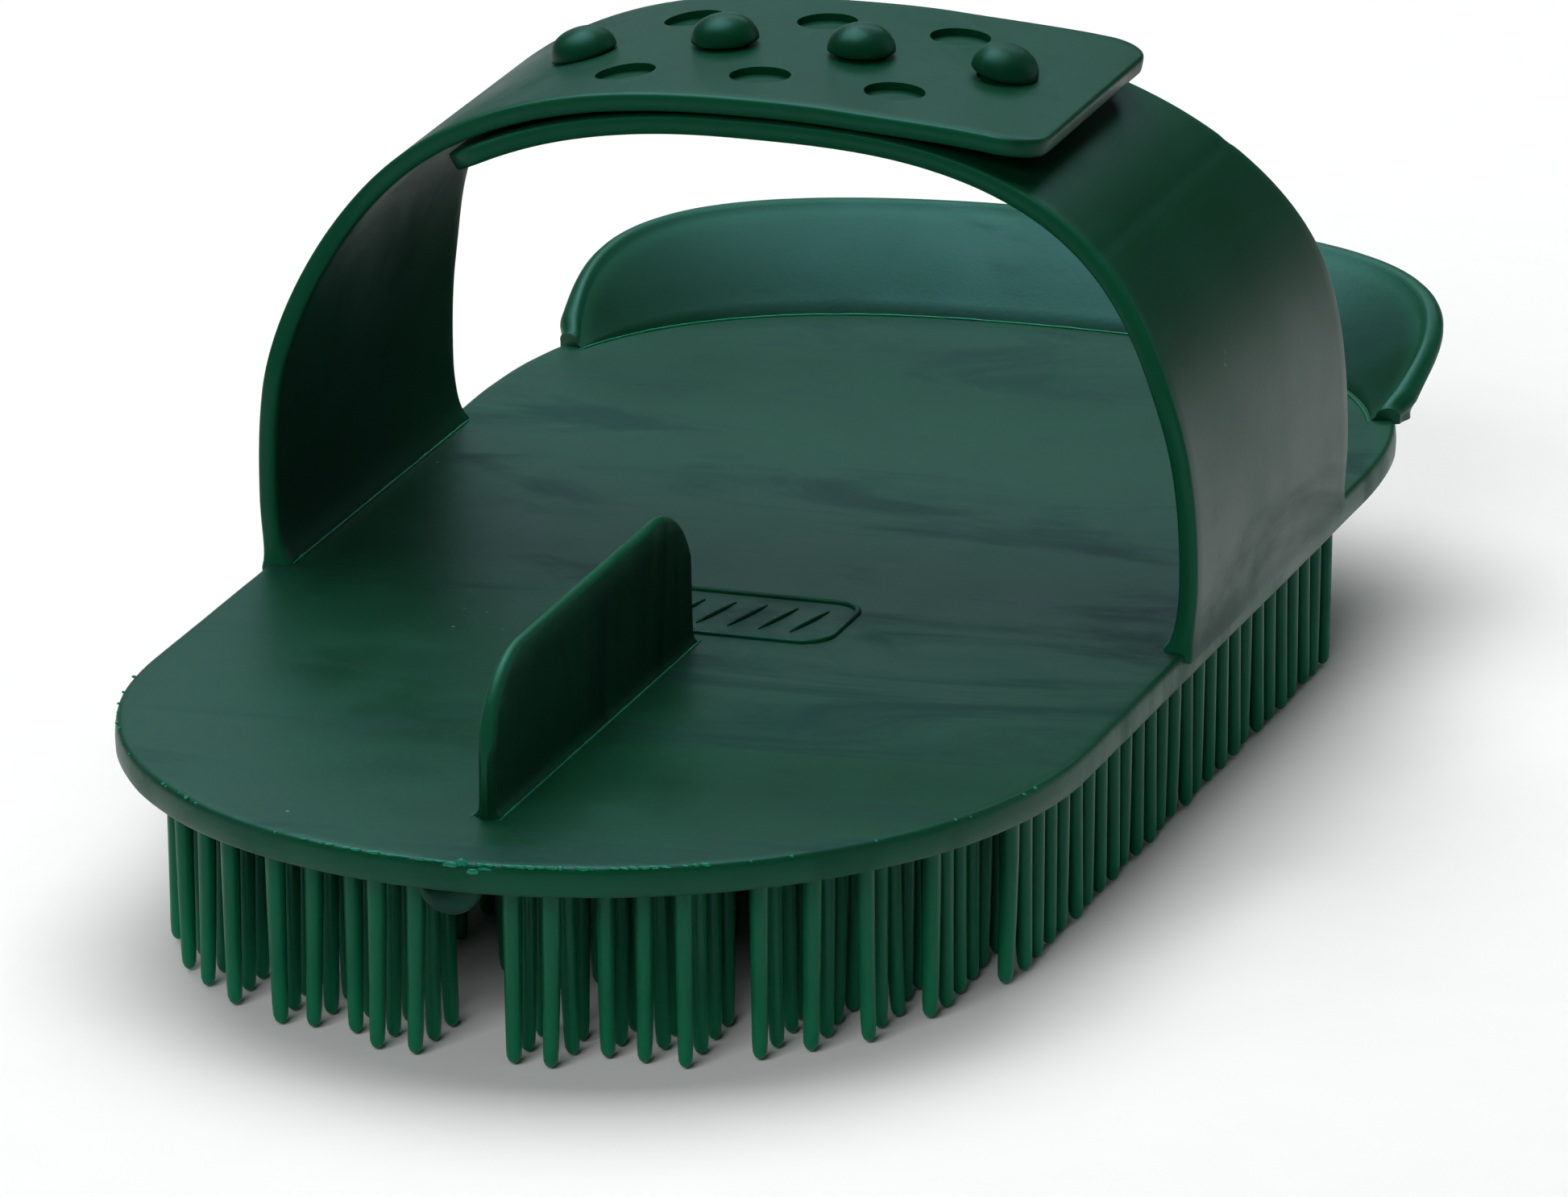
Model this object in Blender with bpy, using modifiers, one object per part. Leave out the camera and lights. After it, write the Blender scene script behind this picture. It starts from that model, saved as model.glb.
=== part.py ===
"""Curry brush moulded in one piece: plate with pins, fin, end guard and a two-part hand strap.

Metres, +Z up, +Y from the fin end to the guard end, pin tips on Z = 0.
The origin is the centre of the overall box in X and Y.
"""
import math

import bmesh
import bpy
from mathutils import Matrix, Vector

MM = 0.001
GAP = 0.3 * MM

# Plate
PLATE_HALF_WIDTH = 47.25 * MM
PLATE_HALF_LENGTH = 91.25 * MM
PLATE_THICKNESS = 3.1 * MM
PLATE_EDGE_ROUND = 0.6 * MM
FAR_SQUARENESS = 2.5
ARC_STEPS = 28

# Pins
PIN_LENGTH = 18.4 * MM
PIN_ROOT_RADIUS = 0.95 * MM
PIN_TIP_RADIUS = 0.7 * MM
PIN_SIDES = 5
PIN_TURN = 18.0
PIN_PITCH = 3.85 * MM
PIN_CENTRE_LANE = 9.5 * MM
PIN_SIDE_LANE = 6.0 * MM
PIN_COLUMNS_INNER = 5
PIN_EDGE_INSET = 5.0 * MM
PIN_BAND_WIDTH = 11.0 * MM
PIN_BAND_GAP = 6.0 * MM
WEB_RADIUS = 3.2 * MM
WEB_THICKNESS = 1.4 * MM
WEB_RIM_DISTANCE = 3.2 * MM

# Fin
FIN_THICKNESS = 1.8 * MM
FIN_HEIGHT = 14.7 * MM
FIN_LENGTH = 56.0 * MM
FIN_RIM_DISTANCE = 12.4 * MM
FIN_NEAR_ROUND = 10.0 * MM
FIN_FAR_ROUND = 9.0 * MM

# Guard
GUARD_HEIGHT = 8.8 * MM
GUARD_LEAN = 10.0 * MM
GUARD_RIM_DISTANCE = 2.8 * MM
GUARD_WIDENING = 1.1
GUARD_THICKNESS = 2.2 * MM
GUARD_SET_BACK = 20.0 * MM
GUARD_END_RUN = 35.0 * MM
GUARD_END_POWER = 2.6
GUARD_STEPS = 72

# Straps
STRAP_THICKNESS = 1.9 * MM
STRAP_BASE_WIDTH = 50.0 * MM
STRAP_CROWN_WIDTH = 37.0 * MM
STRAP_OFFSET = 12.3 * MM
STRAP_BULGE = 7.0 * MM
STRAP_FOOT_INSET = 0.9 * MM
ARCH_EDGE_INSET = 1.1 * MM
ARCH_RISE = 38.2 * MM
RIGHT_SQUARENESS = 2.6
LEFT_SQUARENESS = 2.4
UPPER_SQUARENESS = 2.6
FREE_END_LIFT = 3.4 * MM
LIFT_START = 10.0 * MM
STRAP_SHOULDER = 16.15 * MM
STRAP_CORNER = 4.5 * MM
RIGHT_NARROWING = (0.50, 1.0)
LEFT_NARROWING = (0.38, 0.82)
STRAP_STEPS = 34
HINGE_CLEARANCE = 1.5 * MM

# Studs and strap marks
STUD_COUNT = 4
STUD_LEFT_INSET = 8.8 * MM
STUD_RIGHT_INSET = 10.4 * MM
STUD_NECK_RADIUS = 2.3 * MM
STUD_HEAD_RADIUS = 3.35 * MM
STUD_HEAD_RISE = 2.8 * MM
HOLE_RADIUS = 4.5 * MM
MARK_RADIUS = 3.0 * MM
MARK_DEPTH = 0.7 * MM
MARK_ROW = 10.0 * MM

# Emblem border
EMBLEM_LENGTH = 27.0 * MM
EMBLEM_WIDTH = 13.4 * MM
EMBLEM_LINE = 0.8 * MM
EMBLEM_RISE = 0.5 * MM
EMBLEM_CLEARANCE = 1.6 * MM
EMBLEM_CORNER = 3.0 * MM

# Levels and shared places, all worked out from the sizes above
PLATE_BOTTOM = PIN_LENGTH
PLATE_TOP = PLATE_BOTTOM + PLATE_THICKNESS
END_RADIUS = PLATE_HALF_WIDTH
END_CENTRE = PLATE_HALF_LENGTH - END_RADIUS
GUARD_BASE = END_RADIUS - GUARD_THICKNESS - GUARD_RIM_DISTANCE
GUARD_REACH = END_CENTRE + GUARD_BASE + GUARD_LEAN + GUARD_THICKNESS
SHIFT_Y = (PLATE_HALF_LENGTH - GUARD_REACH) / 2
GUARD_START = END_CENTRE + GUARD_SET_BACK + SHIFT_Y
FIN_NEAR = -PLATE_HALF_LENGTH + FIN_RIM_DISTANCE + SHIFT_Y
FIN_FAR = FIN_NEAR + FIN_LENGTH
EMBLEM_CENTRE = FIN_FAR + EMBLEM_CLEARANCE + EMBLEM_WIDTH / 2
STRAP_CENTRE = STRAP_OFFSET + SHIFT_Y
ARCH_HALF_WIDTH = PLATE_HALF_WIDTH - ARCH_EDGE_INSET
STRAP_OVERLAP = ARCH_HALF_WIDTH - STRAP_SHOULDER
HINGE_X = -STRAP_OVERLAP - HINGE_CLEARANCE
STUD_FIRST = STUD_LEFT_INSET - STRAP_OVERLAP
STUD_LAST = STRAP_OVERLAP - STUD_RIGHT_INSET


def clear_scene():
    for item in list(bpy.data.objects):
        bpy.data.objects.remove(item, do_unlink=True)


def make_collection(name):
    group = bpy.data.collections.new(name)
    bpy.context.scene.collection.children.link(group)
    return group


def make_material(name, colour, roughness):
    material = bpy.data.materials.new(name)
    material.use_nodes = True
    shader = material.node_tree.nodes["Principled BSDF"]
    shader.inputs["Base Color"].default_value = (*colour, 1.0)
    shader.inputs["Roughness"].default_value = roughness
    shader.inputs["Metallic"].default_value = 0.0
    return material


def add_object(name, mesh, group, material=None):
    item = bpy.data.objects.new(name, mesh)
    group.objects.link(item)
    if material is not None:
        mesh.materials.clear()
        mesh.materials.append(material)
    return item


def mesh_from_bmesh(name, work):
    mesh = bpy.data.meshes.new(name)
    work.to_mesh(mesh)
    work.free()
    return mesh


def settle(item):
    """Turn an object with modifiers or a curve into one clean mesh."""
    bpy.context.view_layer.update()
    graph = bpy.context.evaluated_depsgraph_get()
    mesh = bpy.data.meshes.new_from_object(item.evaluated_get(graph))
    work = bmesh.new()
    work.from_mesh(mesh)
    bmesh.ops.remove_doubles(work, verts=work.verts, dist=0.00001)
    bmesh.ops.recalc_face_normals(work, faces=work.faces)
    work.to_mesh(mesh)
    work.free()
    return mesh


def extruded_outline(name, outline, depth, group):
    """A flat closed outline in local XY, extruded both ways along local Z."""
    curve = bpy.data.curves.new(name, "CURVE")
    curve.dimensions = "2D"
    curve.fill_mode = "BOTH"
    curve.extrude = depth / 2
    line = curve.splines.new("POLY")
    line.points.add(len(outline) - 1)
    for point, place in zip(line.points, outline):
        point.co = (place[0], place[1], 0.0, 1.0)
    line.use_cyclic_u = True
    item = bpy.data.objects.new(name, curve)
    group.objects.link(item)
    mesh = settle(item)
    bpy.data.objects.remove(item, do_unlink=True)
    return mesh


def cut(item, tool, operation):
    modifier = item.modifiers.new(operation, "BOOLEAN")
    modifier.operation = operation
    modifier.solver = "EXACT"
    modifier.object = tool


def apply_all(item):
    """Bake the modifiers of an object into its own mesh."""
    mesh = settle(item)
    old = item.data
    item.modifiers.clear()
    for material in old.materials:
        if material.name not in mesh.materials:
            mesh.materials.append(material)
    item.data = mesh


def as_tool(name, mesh, group):
    tool = add_object(name, mesh, group)
    tool.display_type = "WIRE"
    tool.hide_render = True
    return tool


def bevel(item, width, segments=1, angle=40.0):
    modifier = item.modifiers.new("edge round", "BEVEL")
    modifier.width = width
    modifier.segments = segments
    modifier.limit_method = "ANGLE"
    modifier.angle_limit = math.radians(angle)
    modifier.harden_normals = False


def smooth(item, angle=35.0):
    work = bmesh.new()
    work.from_mesh(item.data)
    for face in work.faces:
        face.smooth = True
    limit = math.radians(angle)
    for edge in work.edges:
        if len(edge.link_faces) == 2:
            edge.smooth = edge.calc_face_angle(0.0) < limit
    work.to_mesh(item.data)
    work.free()


def arc(centre, radius, start, end, steps):
    """Points on an arc, angles in degrees, ends included."""
    places = []
    for step in range(steps + 1):
        angle = math.radians(start + (end - start) * step / steps)
        places.append((centre[0] + radius * math.cos(angle), centre[1] + radius * math.sin(angle)))
    return places


def squared_off(x, y):
    """Move a point beyond the far end's centre outward, which makes that end squarer than a circle."""
    centre = END_CENTRE + SHIFT_Y
    ahead = y - centre
    if ahead <= 0.0:
        return x, y
    reach = math.hypot(x, ahead)
    share = (abs(x) / reach) ** FAR_SQUARENESS + (ahead / reach) ** FAR_SQUARENESS
    grow = share ** (-1.0 / FAR_SQUARENESS)
    return x * grow, centre + ahead * grow


def stadium(half_width, end_centre, steps):
    near = arc((0.0, -end_centre + SHIFT_Y), half_width, 180.0, 360.0, steps)
    far = arc((0.0, end_centre + SHIFT_Y), half_width, 0.0, 180.0, steps)
    return near + [squared_off(x, y) for x, y in far]


def pin_columns():
    """X places of the pin columns on the right half, a lane at the centre and one between blocks."""
    columns = []
    place = PIN_CENTRE_LANE / 2
    limit = PLATE_HALF_WIDTH - PIN_EDGE_INSET
    while place < limit:
        columns.append(place)
        lane = PIN_SIDE_LANE if len(columns) == PIN_COLUMNS_INNER else PIN_PITCH
        place += lane
    return columns


def pin_places():
    """Root places of all pins: a dense band round the rim and a sparser island inside it."""
    places = []
    limit = PLATE_HALF_WIDTH - PIN_EDGE_INSET
    rows = int((END_CENTRE + limit) / PIN_PITCH)
    for column, x in enumerate(pin_columns()):
        for row in range(-rows, rows + 1):
            y = row * PIN_PITCH
            beyond = max(abs(y) - END_CENTRE, 0.0)
            inset = limit - math.hypot(x, beyond)
            if inset < -0.2 * MM:
                continue
            in_band = inset < PIN_BAND_WIDTH
            in_island = inset > PIN_BAND_WIDTH + PIN_BAND_GAP
            sparse = column % 2 == 0 and row % 2 == 0
            if in_band or (in_island and sparse):
                places.append((x, y + SHIFT_Y))
                places.append((-x, y + SHIFT_Y))
    return places


def build_pin_plate(group, tools, material):
    outline = stadium(END_RADIUS, END_CENTRE, ARC_STEPS)
    plate = add_object("pin_plate", extruded_outline("plate", outline, PLATE_THICKNESS, group), group, material)
    plate.data.transform(Matrix.Translation((0.0, 0.0, PLATE_BOTTOM + PLATE_THICKNESS / 2)))
    bevel(plate, PLATE_EDGE_ROUND)
    apply_all(plate)
    work = bmesh.new()
    sunk = 0.5 * MM
    height = PIN_LENGTH + sunk
    turn = Matrix.Rotation(math.radians(PIN_TURN), 4, "Z")
    for x, y in pin_places():
        spot = Matrix.Translation((x, y, height / 2)) @ turn
        bmesh.ops.create_cone(
            work,
            cap_ends=True,
            segments=PIN_SIDES,
            radius1=PIN_TIP_RADIUS,
            radius2=PIN_ROOT_RADIUS,
            depth=height,
            matrix=spot,
        )
    pins = as_tool("pin cluster", mesh_from_bmesh("pin cluster", work), tools)
    cut(plate, pins, "UNION")
    apply_all(plate)
    web = extruded_outline("web", arc((0.0, 0.0), WEB_RADIUS, 180.0, 360.0, 10), WEB_THICKNESS, tools)
    web.transform(Matrix.Rotation(math.radians(90.0), 4, "X"))
    rim = -PLATE_HALF_LENGTH + SHIFT_Y
    web.transform(Matrix.Translation((0.0, rim + WEB_RIM_DISTANCE, PLATE_BOTTOM + 0.2 * MM)))
    cut(plate, as_tool("web tool", web, tools), "UNION")
    apply_all(plate)
    smooth(plate)
    return plate


def build_fin(group, material):
    base = PLATE_TOP + GAP
    top = PLATE_TOP + FIN_HEIGHT
    front = arc((FIN_NEAR + FIN_NEAR_ROUND, top - FIN_NEAR_ROUND), FIN_NEAR_ROUND, 180.0, 90.0, 8)
    back = arc((FIN_FAR - FIN_FAR_ROUND, top - FIN_FAR_ROUND), FIN_FAR_ROUND, 90.0, 0.0, 8)
    outline = [(FIN_NEAR, base)] + front + back + [(FIN_FAR, base)]
    mesh = extruded_outline("fin", outline, FIN_THICKNESS, group)
    mesh.transform(Matrix.Rotation(math.radians(90.0), 4, "X"))
    mesh.transform(Matrix.Rotation(math.radians(90.0), 4, "Z"))
    fin = add_object("thumb_fin", mesh, group, material)
    bevel(fin, 0.4 * MM)
    apply_all(fin)
    smooth(fin)
    return fin


def guard_profile():
    """Closed section of the guard in (radius, height), a cove that leans outward."""
    inner = []
    outer = []
    steps = 7
    for step in range(steps + 1):
        part = step / steps
        lean = GUARD_LEAN * part ** 1.25
        height = GUARD_HEIGHT * part
        inner.append((GUARD_BASE + lean, height))
        width = GUARD_THICKNESS + (0.6 * MM) * (1.0 - part) ** 2
        outer.append((GUARD_BASE + lean + width, height - 0.5 * MM * part))
    inner[0] = (inner[0][0], GAP)
    outer[0] = (outer[0][0], GAP)
    return inner + outer[::-1]


def build_guard(group, tools, material):
    work = bmesh.new()
    verts = []
    for radius, height in guard_profile():
        verts.append(work.verts.new((radius, 0.0, height + PLATE_TOP)))
    for first, second in zip(verts, verts[1:] + verts[:1]):
        work.edges.new((first, second))
    ring = add_object("end_guard", mesh_from_bmesh("guard section", work), group, material)
    screw = ring.modifiers.new("sweep", "SCREW")
    screw.axis = "Z"
    screw.angle = math.radians(360.0)
    screw.steps = GUARD_STEPS
    screw.render_steps = GUARD_STEPS
    screw.use_merge_vertices = True
    screw.merge_threshold = 0.00002
    apply_all(ring)
    ring.data.transform(Matrix.Translation((0.0, END_CENTRE + SHIFT_Y, 0.0)))
    for vertex in ring.data.vertices:
        x, vertex.co.y = squared_off(vertex.co.x, vertex.co.y)
        vertex.co.x = x * GUARD_WIDENING
    below = PLATE_TOP - 1.0 * MM
    top = PLATE_TOP + GUARD_HEIGHT + 2.0 * MM
    far = GUARD_START + 2 * END_RADIUS
    outline = [(GUARD_START, below)]
    steps = 10
    for step in range(steps + 1):
        part = step / steps
        rise = (GUARD_HEIGHT + 0.3 * MM) * (1.0 - (1.0 - part) ** GUARD_END_POWER)
        outline.append((GUARD_START + GUARD_END_RUN * part, PLATE_TOP + rise))
    outline += [(GUARD_START + GUARD_END_RUN, top), (far, top), (far, below)]
    mesh = extruded_outline("guard ends", outline, 4 * PLATE_HALF_WIDTH, tools)
    mesh.transform(Matrix.Rotation(math.radians(90.0), 4, "X"))
    mesh.transform(Matrix.Rotation(math.radians(90.0), 4, "Z"))
    cut(ring, as_tool("guard ends tool", mesh, tools), "INTERSECT")
    apply_all(ring)
    smooth(ring)
    return ring


def arch_point(turn, half_width, rise, squareness):
    """A point (x, height above the plate) of the arch, turn 0 at the right bulge and 1 at the crown."""
    angle = turn * math.pi / 2
    x = half_width * math.cos(angle) ** (2.0 / squareness)
    z = STRAP_BULGE + rise * math.sin(angle) ** (2.0 / squareness)
    return Vector((x, z))


def arch_line(rise, squareness, last_x):
    """Inner line of a strap as (x, height) points, from the plate at the right over the crown to last_x.

    squareness holds two values, for the half before the crown and the half beyond it.
    """
    half_width = ARCH_HALF_WIDTH
    places = []
    lower = 4
    for step in range(lower):
        part = step / lower
        tuck = STRAP_FOOT_INSET * (1.0 - part) ** 2
        places.append(Vector((half_width - tuck, GAP + (STRAP_BULGE - GAP) * part)))
    turns = 140
    for step in range(turns + 1):
        places.append(arch_point(step / turns, half_width, rise, squareness[0]))
    for step in range(turns - 1, -1, -1):
        spot = arch_point(step / turns, half_width, rise, squareness[1])
        places.append(Vector((-spot.x, spot.y)))
    line = [spot for spot in places if spot.x >= last_x]
    line.append(place_at(places, last_x))
    return resample(line, STRAP_STEPS)


def place_at(places, x):
    for first, second in zip(places, places[1:]):
        if first.x >= x >= second.x and first.x > second.x:
            part = (first.x - x) / (first.x - second.x)
            return first.lerp(second, part)
    return places[-1].copy()


def resample(line, steps):
    lengths = [0.0]
    for first, second in zip(line, line[1:]):
        lengths.append(lengths[-1] + (second - first).length)
    places = []
    index = 0
    for step in range(steps + 1):
        target = lengths[-1] * step / steps
        while index < len(line) - 2 and lengths[index + 1] < target:
            index += 1
        span = lengths[index + 1] - lengths[index]
        part = (target - lengths[index]) / span if span > 0.0 else 0.0
        places.append(line[index].lerp(line[index + 1], min(max(part, 0.0), 1.0)))
    return places


def line_normals(line):
    """Outward normals of a line that runs from right to left over the arch."""
    normals = []
    for index in range(len(line)):
        before = line[max(index - 1, 0)]
        after = line[min(index + 1, len(line) - 1)]
        way = (after - before).normalized()
        normals.append(Vector((way.y, -way.x)))
    return normals


def band_outline(line):
    """Closed outline of a strap's side view from its inner line."""
    normals = line_normals(line)
    if line[0].y < 1.0 * MM:
        normals[0] = Vector((1.0, 0.0))
    outer = [spot + normal * STRAP_THICKNESS for spot, normal in zip(line, normals)]
    return list(line) + outer[::-1]


def width_outline(narrowing):
    """Closed outline of a strap seen along X: wide at the plate, narrow at the crown.

    narrowing holds the shares of the arch's height where the taper starts and ends.
    """
    base = STRAP_BASE_WIDTH / 2
    crown = STRAP_CROWN_WIDTH / 2
    top = STRAP_BULGE + ARCH_RISE
    right = []
    steps = 10
    for step in range(steps + 1):
        part = step / steps
        ease = part * part * (3.0 - 2.0 * part)
        height = top * (narrowing[0] + (narrowing[1] - narrowing[0]) * part)
        right.append((base + (crown - base) * ease, height))
    low = [(base, -2.0 * MM)]
    high = [(crown, top + 12.0 * MM)]
    half = low + right + high
    return half + [(-y, z) for y, z in half[::-1]]


def strap_band(name, line, tools):
    mesh = extruded_outline(name, band_outline(line), STRAP_BASE_WIDTH + 2.0 * MM, tools)
    mesh.transform(Matrix.Rotation(math.radians(90.0), 4, "X"))
    mesh.transform(Matrix.Translation((0.0, STRAP_CENTRE, PLATE_TOP)))
    return mesh


def width_tool(name, narrowing, tools):
    mesh = extruded_outline(name, width_outline(narrowing), 4 * PLATE_HALF_WIDTH, tools)
    mesh.transform(Matrix.Rotation(math.radians(90.0), 4, "X"))
    mesh.transform(Matrix.Rotation(math.radians(90.0), 4, "Z"))
    mesh.transform(Matrix.Translation((0.0, STRAP_CENTRE, PLATE_TOP)))
    return as_tool(name, mesh, tools)


def end_tool(name, side, tools):
    """Plan outline with a rounded free end; side is +1 when the free end points to +X."""
    half = STRAP_CROWN_WIDTH / 2
    reach = STRAP_OVERLAP
    wide = STRAP_BASE_WIDTH
    ease = STRAP_CORNER
    shoulder = reach - ease
    outline = [(-3 * PLATE_HALF_WIDTH, -wide), (shoulder, -wide), (shoulder, -half)]
    outline += arc((reach - ease, -half + ease), ease, 270.0, 360.0, 5)[1:]
    outline += arc((reach - ease, half - ease), ease, 0.0, 90.0, 5)[:-1]
    outline += [(shoulder, half), (shoulder, wide), (-3 * PLATE_HALF_WIDTH, wide)]
    outline = [(side * x, y) for x, y in outline]
    if side < 0:
        outline.reverse()
    mesh = extruded_outline(name, outline, 0.3, tools)
    mesh.transform(Matrix.Translation((0.0, STRAP_CENTRE, 0.0)))
    return as_tool(name, mesh, tools)


def lower_line():
    return arch_line(ARCH_RISE, (RIGHT_SQUARENESS, LEFT_SQUARENESS), -STRAP_OVERLAP)


def end_lift(x):
    """Extra height of the upper strap, whose free end stands off the lower strap."""
    part = max(x - LIFT_START, 0.0) / (STRAP_OVERLAP - LIFT_START)
    return FREE_END_LIFT * part * part


def upper_rise():
    return ARCH_RISE + STRAP_THICKNESS + GAP


def build_right_strap(group, tools, material):
    strap = add_object("strap_right", strap_band("right band", lower_line(), tools), group, material)
    cut(strap, width_tool("right width", RIGHT_NARROWING, tools), "INTERSECT")
    apply_all(strap)
    cut(strap, end_tool("right end", -1, tools), "INTERSECT")
    bevel(strap, 0.3 * MM, 1, 50.0)
    apply_all(strap)
    smooth(strap)
    return strap


def crown_spot(x):
    """Point and outward normal on the outer face of the lower strap at a place along it."""
    fine = arch_line(ARCH_RISE, (RIGHT_SQUARENESS, LEFT_SQUARENESS), -ARCH_HALF_WIDTH * 0.9)
    normals = line_normals(fine)
    for index in range(len(fine) - 1):
        if fine[index].x >= x >= fine[index + 1].x:
            part = (fine[index].x - x) / (fine[index].x - fine[index + 1].x)
            spot = fine[index].lerp(fine[index + 1], part)
            normal = normals[index].lerp(normals[index + 1], part).normalized()
            return spot + normal * STRAP_THICKNESS, normal
    return fine[0], normals[0]


def frame_at(x, y):
    """Matrix whose Z is the strap's outward normal at (x, y), origin on the lower strap's outer face."""
    spot, normal = crown_spot(x)
    tilt = math.atan2(normal.x, normal.y)
    place = Matrix.Translation((spot.x, y + STRAP_CENTRE, spot.y + PLATE_TOP))
    return place @ Matrix.Rotation(tilt, 4, "Y")


def stud_places():
    pitch = (STUD_LAST - STUD_FIRST) / (STUD_COUNT - 1)
    return [STUD_FIRST + pitch * index for index in range(STUD_COUNT)]


def build_stud(index, x, group, material):
    """Neck and domed head turned as one profile about the strap's normal."""
    head_base = STRAP_THICKNESS + 3 * GAP + 0.3 * MM
    profile = [(0.0, GAP), (STUD_NECK_RADIUS, GAP), (STUD_NECK_RADIUS, head_base)]
    profile.append((STUD_HEAD_RADIUS, head_base))
    for x_part, z_part in arc((0.0, 0.0), 1.0, 8.0, 90.0, 6):
        profile.append((STUD_HEAD_RADIUS * x_part, head_base + STUD_HEAD_RISE * z_part))
    work = bmesh.new()
    verts = [work.verts.new((max(radius, 0.0), 0.0, height)) for radius, height in profile]
    for first, second in zip(verts, verts[1:]):
        work.edges.new((first, second))
    stud = add_object("stud_%d" % (index + 1), mesh_from_bmesh("stud section", work), group, material)
    screw = stud.modifiers.new("turn", "SCREW")
    screw.axis = "Z"
    screw.steps = 16
    screw.render_steps = 16
    screw.use_merge_vertices = True
    screw.merge_threshold = 0.00002
    apply_all(stud)
    stud.data.transform(frame_at(x, 0.0))
    smooth(stud)
    return stud


def cylinder_tool(name, radius, low, high, matrix, sides, tools):
    work = bmesh.new()
    spot = Matrix.Translation((0.0, 0.0, (low + high) / 2))
    bmesh.ops.create_cone(
        work,
        cap_ends=True,
        segments=sides,
        radius1=radius,
        radius2=radius,
        depth=high - low,
        matrix=matrix @ spot,
    )
    return as_tool(name, mesh_from_bmesh(name, work), tools)


def upper_full_line():
    mirrored = arch_line(upper_rise(), (UPPER_SQUARENESS, UPPER_SQUARENESS), -STRAP_OVERLAP)
    return [Vector((-spot.x, spot.y + end_lift(-spot.x))) for spot in mirrored]


def upper_normals(line):
    flipped = [Vector((-spot.x, spot.y)) for spot in line]
    return [Vector((-normal.x, normal.y)) for normal in line_normals(flipped)]


def hinge_place():
    """Hinge axis on the outer face of the upper strap, and the strap's normal there."""
    line = upper_full_line()
    normals = upper_normals(line)
    for index in range(len(line) - 1):
        if line[index].x <= HINGE_X <= line[index + 1].x:
            part = (HINGE_X - line[index].x) / (line[index + 1].x - line[index].x)
            normal = normals[index].lerp(normals[index + 1], part).normalized()
            spot = line[index].lerp(line[index + 1], part) + normal * STRAP_THICKNESS
            return spot, normal
    return line[0], normals[0]


def upper_strap_mesh(name, tools):
    line = [Vector((-spot.x, spot.y)) for spot in upper_full_line()]
    mesh = strap_band(name, line, tools)
    mesh.transform(Matrix.Scale(-1.0, 4, (1.0, 0.0, 0.0)))
    mesh.flip_normals()
    return mesh


def half_space(name, side, tools):
    """Block on one side of the hinge plane, held back by half the gap."""
    spot, normal = hinge_place()
    tilt = math.atan2(normal.x, normal.y)
    size = 0.3
    work = bmesh.new()
    bmesh.ops.create_cube(work, size=size)
    shift = Matrix.Translation((side * (size / 2 + GAP / 2), 0.0, 0.0))
    place = Matrix.Translation((spot.x, STRAP_CENTRE, spot.y + PLATE_TOP)) @ Matrix.Rotation(tilt, 4, "Y")
    bmesh.ops.transform(work, matrix=place @ shift, verts=work.verts)
    return as_tool(name, mesh_from_bmesh(name, work), tools)


def mark_places():
    """Blind round marks, front and back, midway between the studs."""
    places = []
    studs = stud_places()
    for first, second in zip(studs, studs[1:]):
        for side in (-1, 1):
            places.append(((first + second) / 2, side * MARK_ROW))
    return places


def upper_frame_at(x, y):
    """Matrix with Z along the strap's normal and its origin on the outer face of the upper strap."""
    line = upper_full_line()
    normals = upper_normals(line)
    for index in range(len(line) - 1):
        if line[index].x <= x <= line[index + 1].x:
            part = (x - line[index].x) / (line[index + 1].x - line[index].x)
            normal = normals[index].lerp(normals[index + 1], part).normalized()
            spot = line[index].lerp(line[index + 1], part) + normal * STRAP_THICKNESS
            break
    tilt = math.atan2(normal.x, normal.y)
    place = Matrix.Translation((spot.x, y + STRAP_CENTRE, spot.y + PLATE_TOP))
    return place @ Matrix.Rotation(tilt, 4, "Y")


def build_left_strap(group, tools, material):
    whole = add_object("left blank", upper_strap_mesh("left band", tools), tools)
    cut(whole, width_tool("left width", LEFT_NARROWING, tools), "INTERSECT")
    apply_all(whole)
    cut(whole, end_tool("left end", 1, tools), "INTERSECT")
    bevel(whole, 0.3 * MM, 1, 50.0)
    apply_all(whole)
    root = add_object("strap_left_root", whole.data.copy(), group, material)
    cut(root, half_space("root side", -1, tools), "INTERSECT")
    apply_all(root)
    smooth(root)
    flap = add_object("strap_left_flap", whole.data.copy(), group, material)
    cut(flap, half_space("flap side", 1, tools), "INTERSECT")
    apply_all(flap)
    for index, x in enumerate(stud_places()):
        name = "hole tool %d" % index
        tool = cylinder_tool(name, HOLE_RADIUS, -2.0 * MM, 8.0 * MM, frame_at(x, 0.0), 24, tools)
        cut(flap, tool, "DIFFERENCE")
        apply_all(flap)
    for index, (x, y) in enumerate(mark_places()):
        name = "mark tool %d" % index
        tool = cylinder_tool(name, MARK_RADIUS, -MARK_DEPTH, 3.0 * MM, upper_frame_at(x, y), 20, tools)
        cut(flap, tool, "DIFFERENCE")
        apply_all(flap)
    smooth(flap)
    whole.hide_render = True
    whole.display_type = "WIRE"
    spot, _normal = hinge_place()
    axis = Vector((spot.x, STRAP_CENTRE, spot.y + PLATE_TOP))
    flap.data.transform(Matrix.Translation(-axis))
    flap.location = axis
    return root, flap


def rounded_rectangle(half_x, half_y, corner):
    outline = []
    for centre, start in (
        ((half_x - corner, half_y - corner), 0.0),
        ((-half_x + corner, half_y - corner), 90.0),
        ((-half_x + corner, -half_y + corner), 180.0),
        ((half_x - corner, -half_y + corner), 270.0),
    ):
        outline += arc(centre, corner, start, start + 90.0, 5)
    return outline


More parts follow.
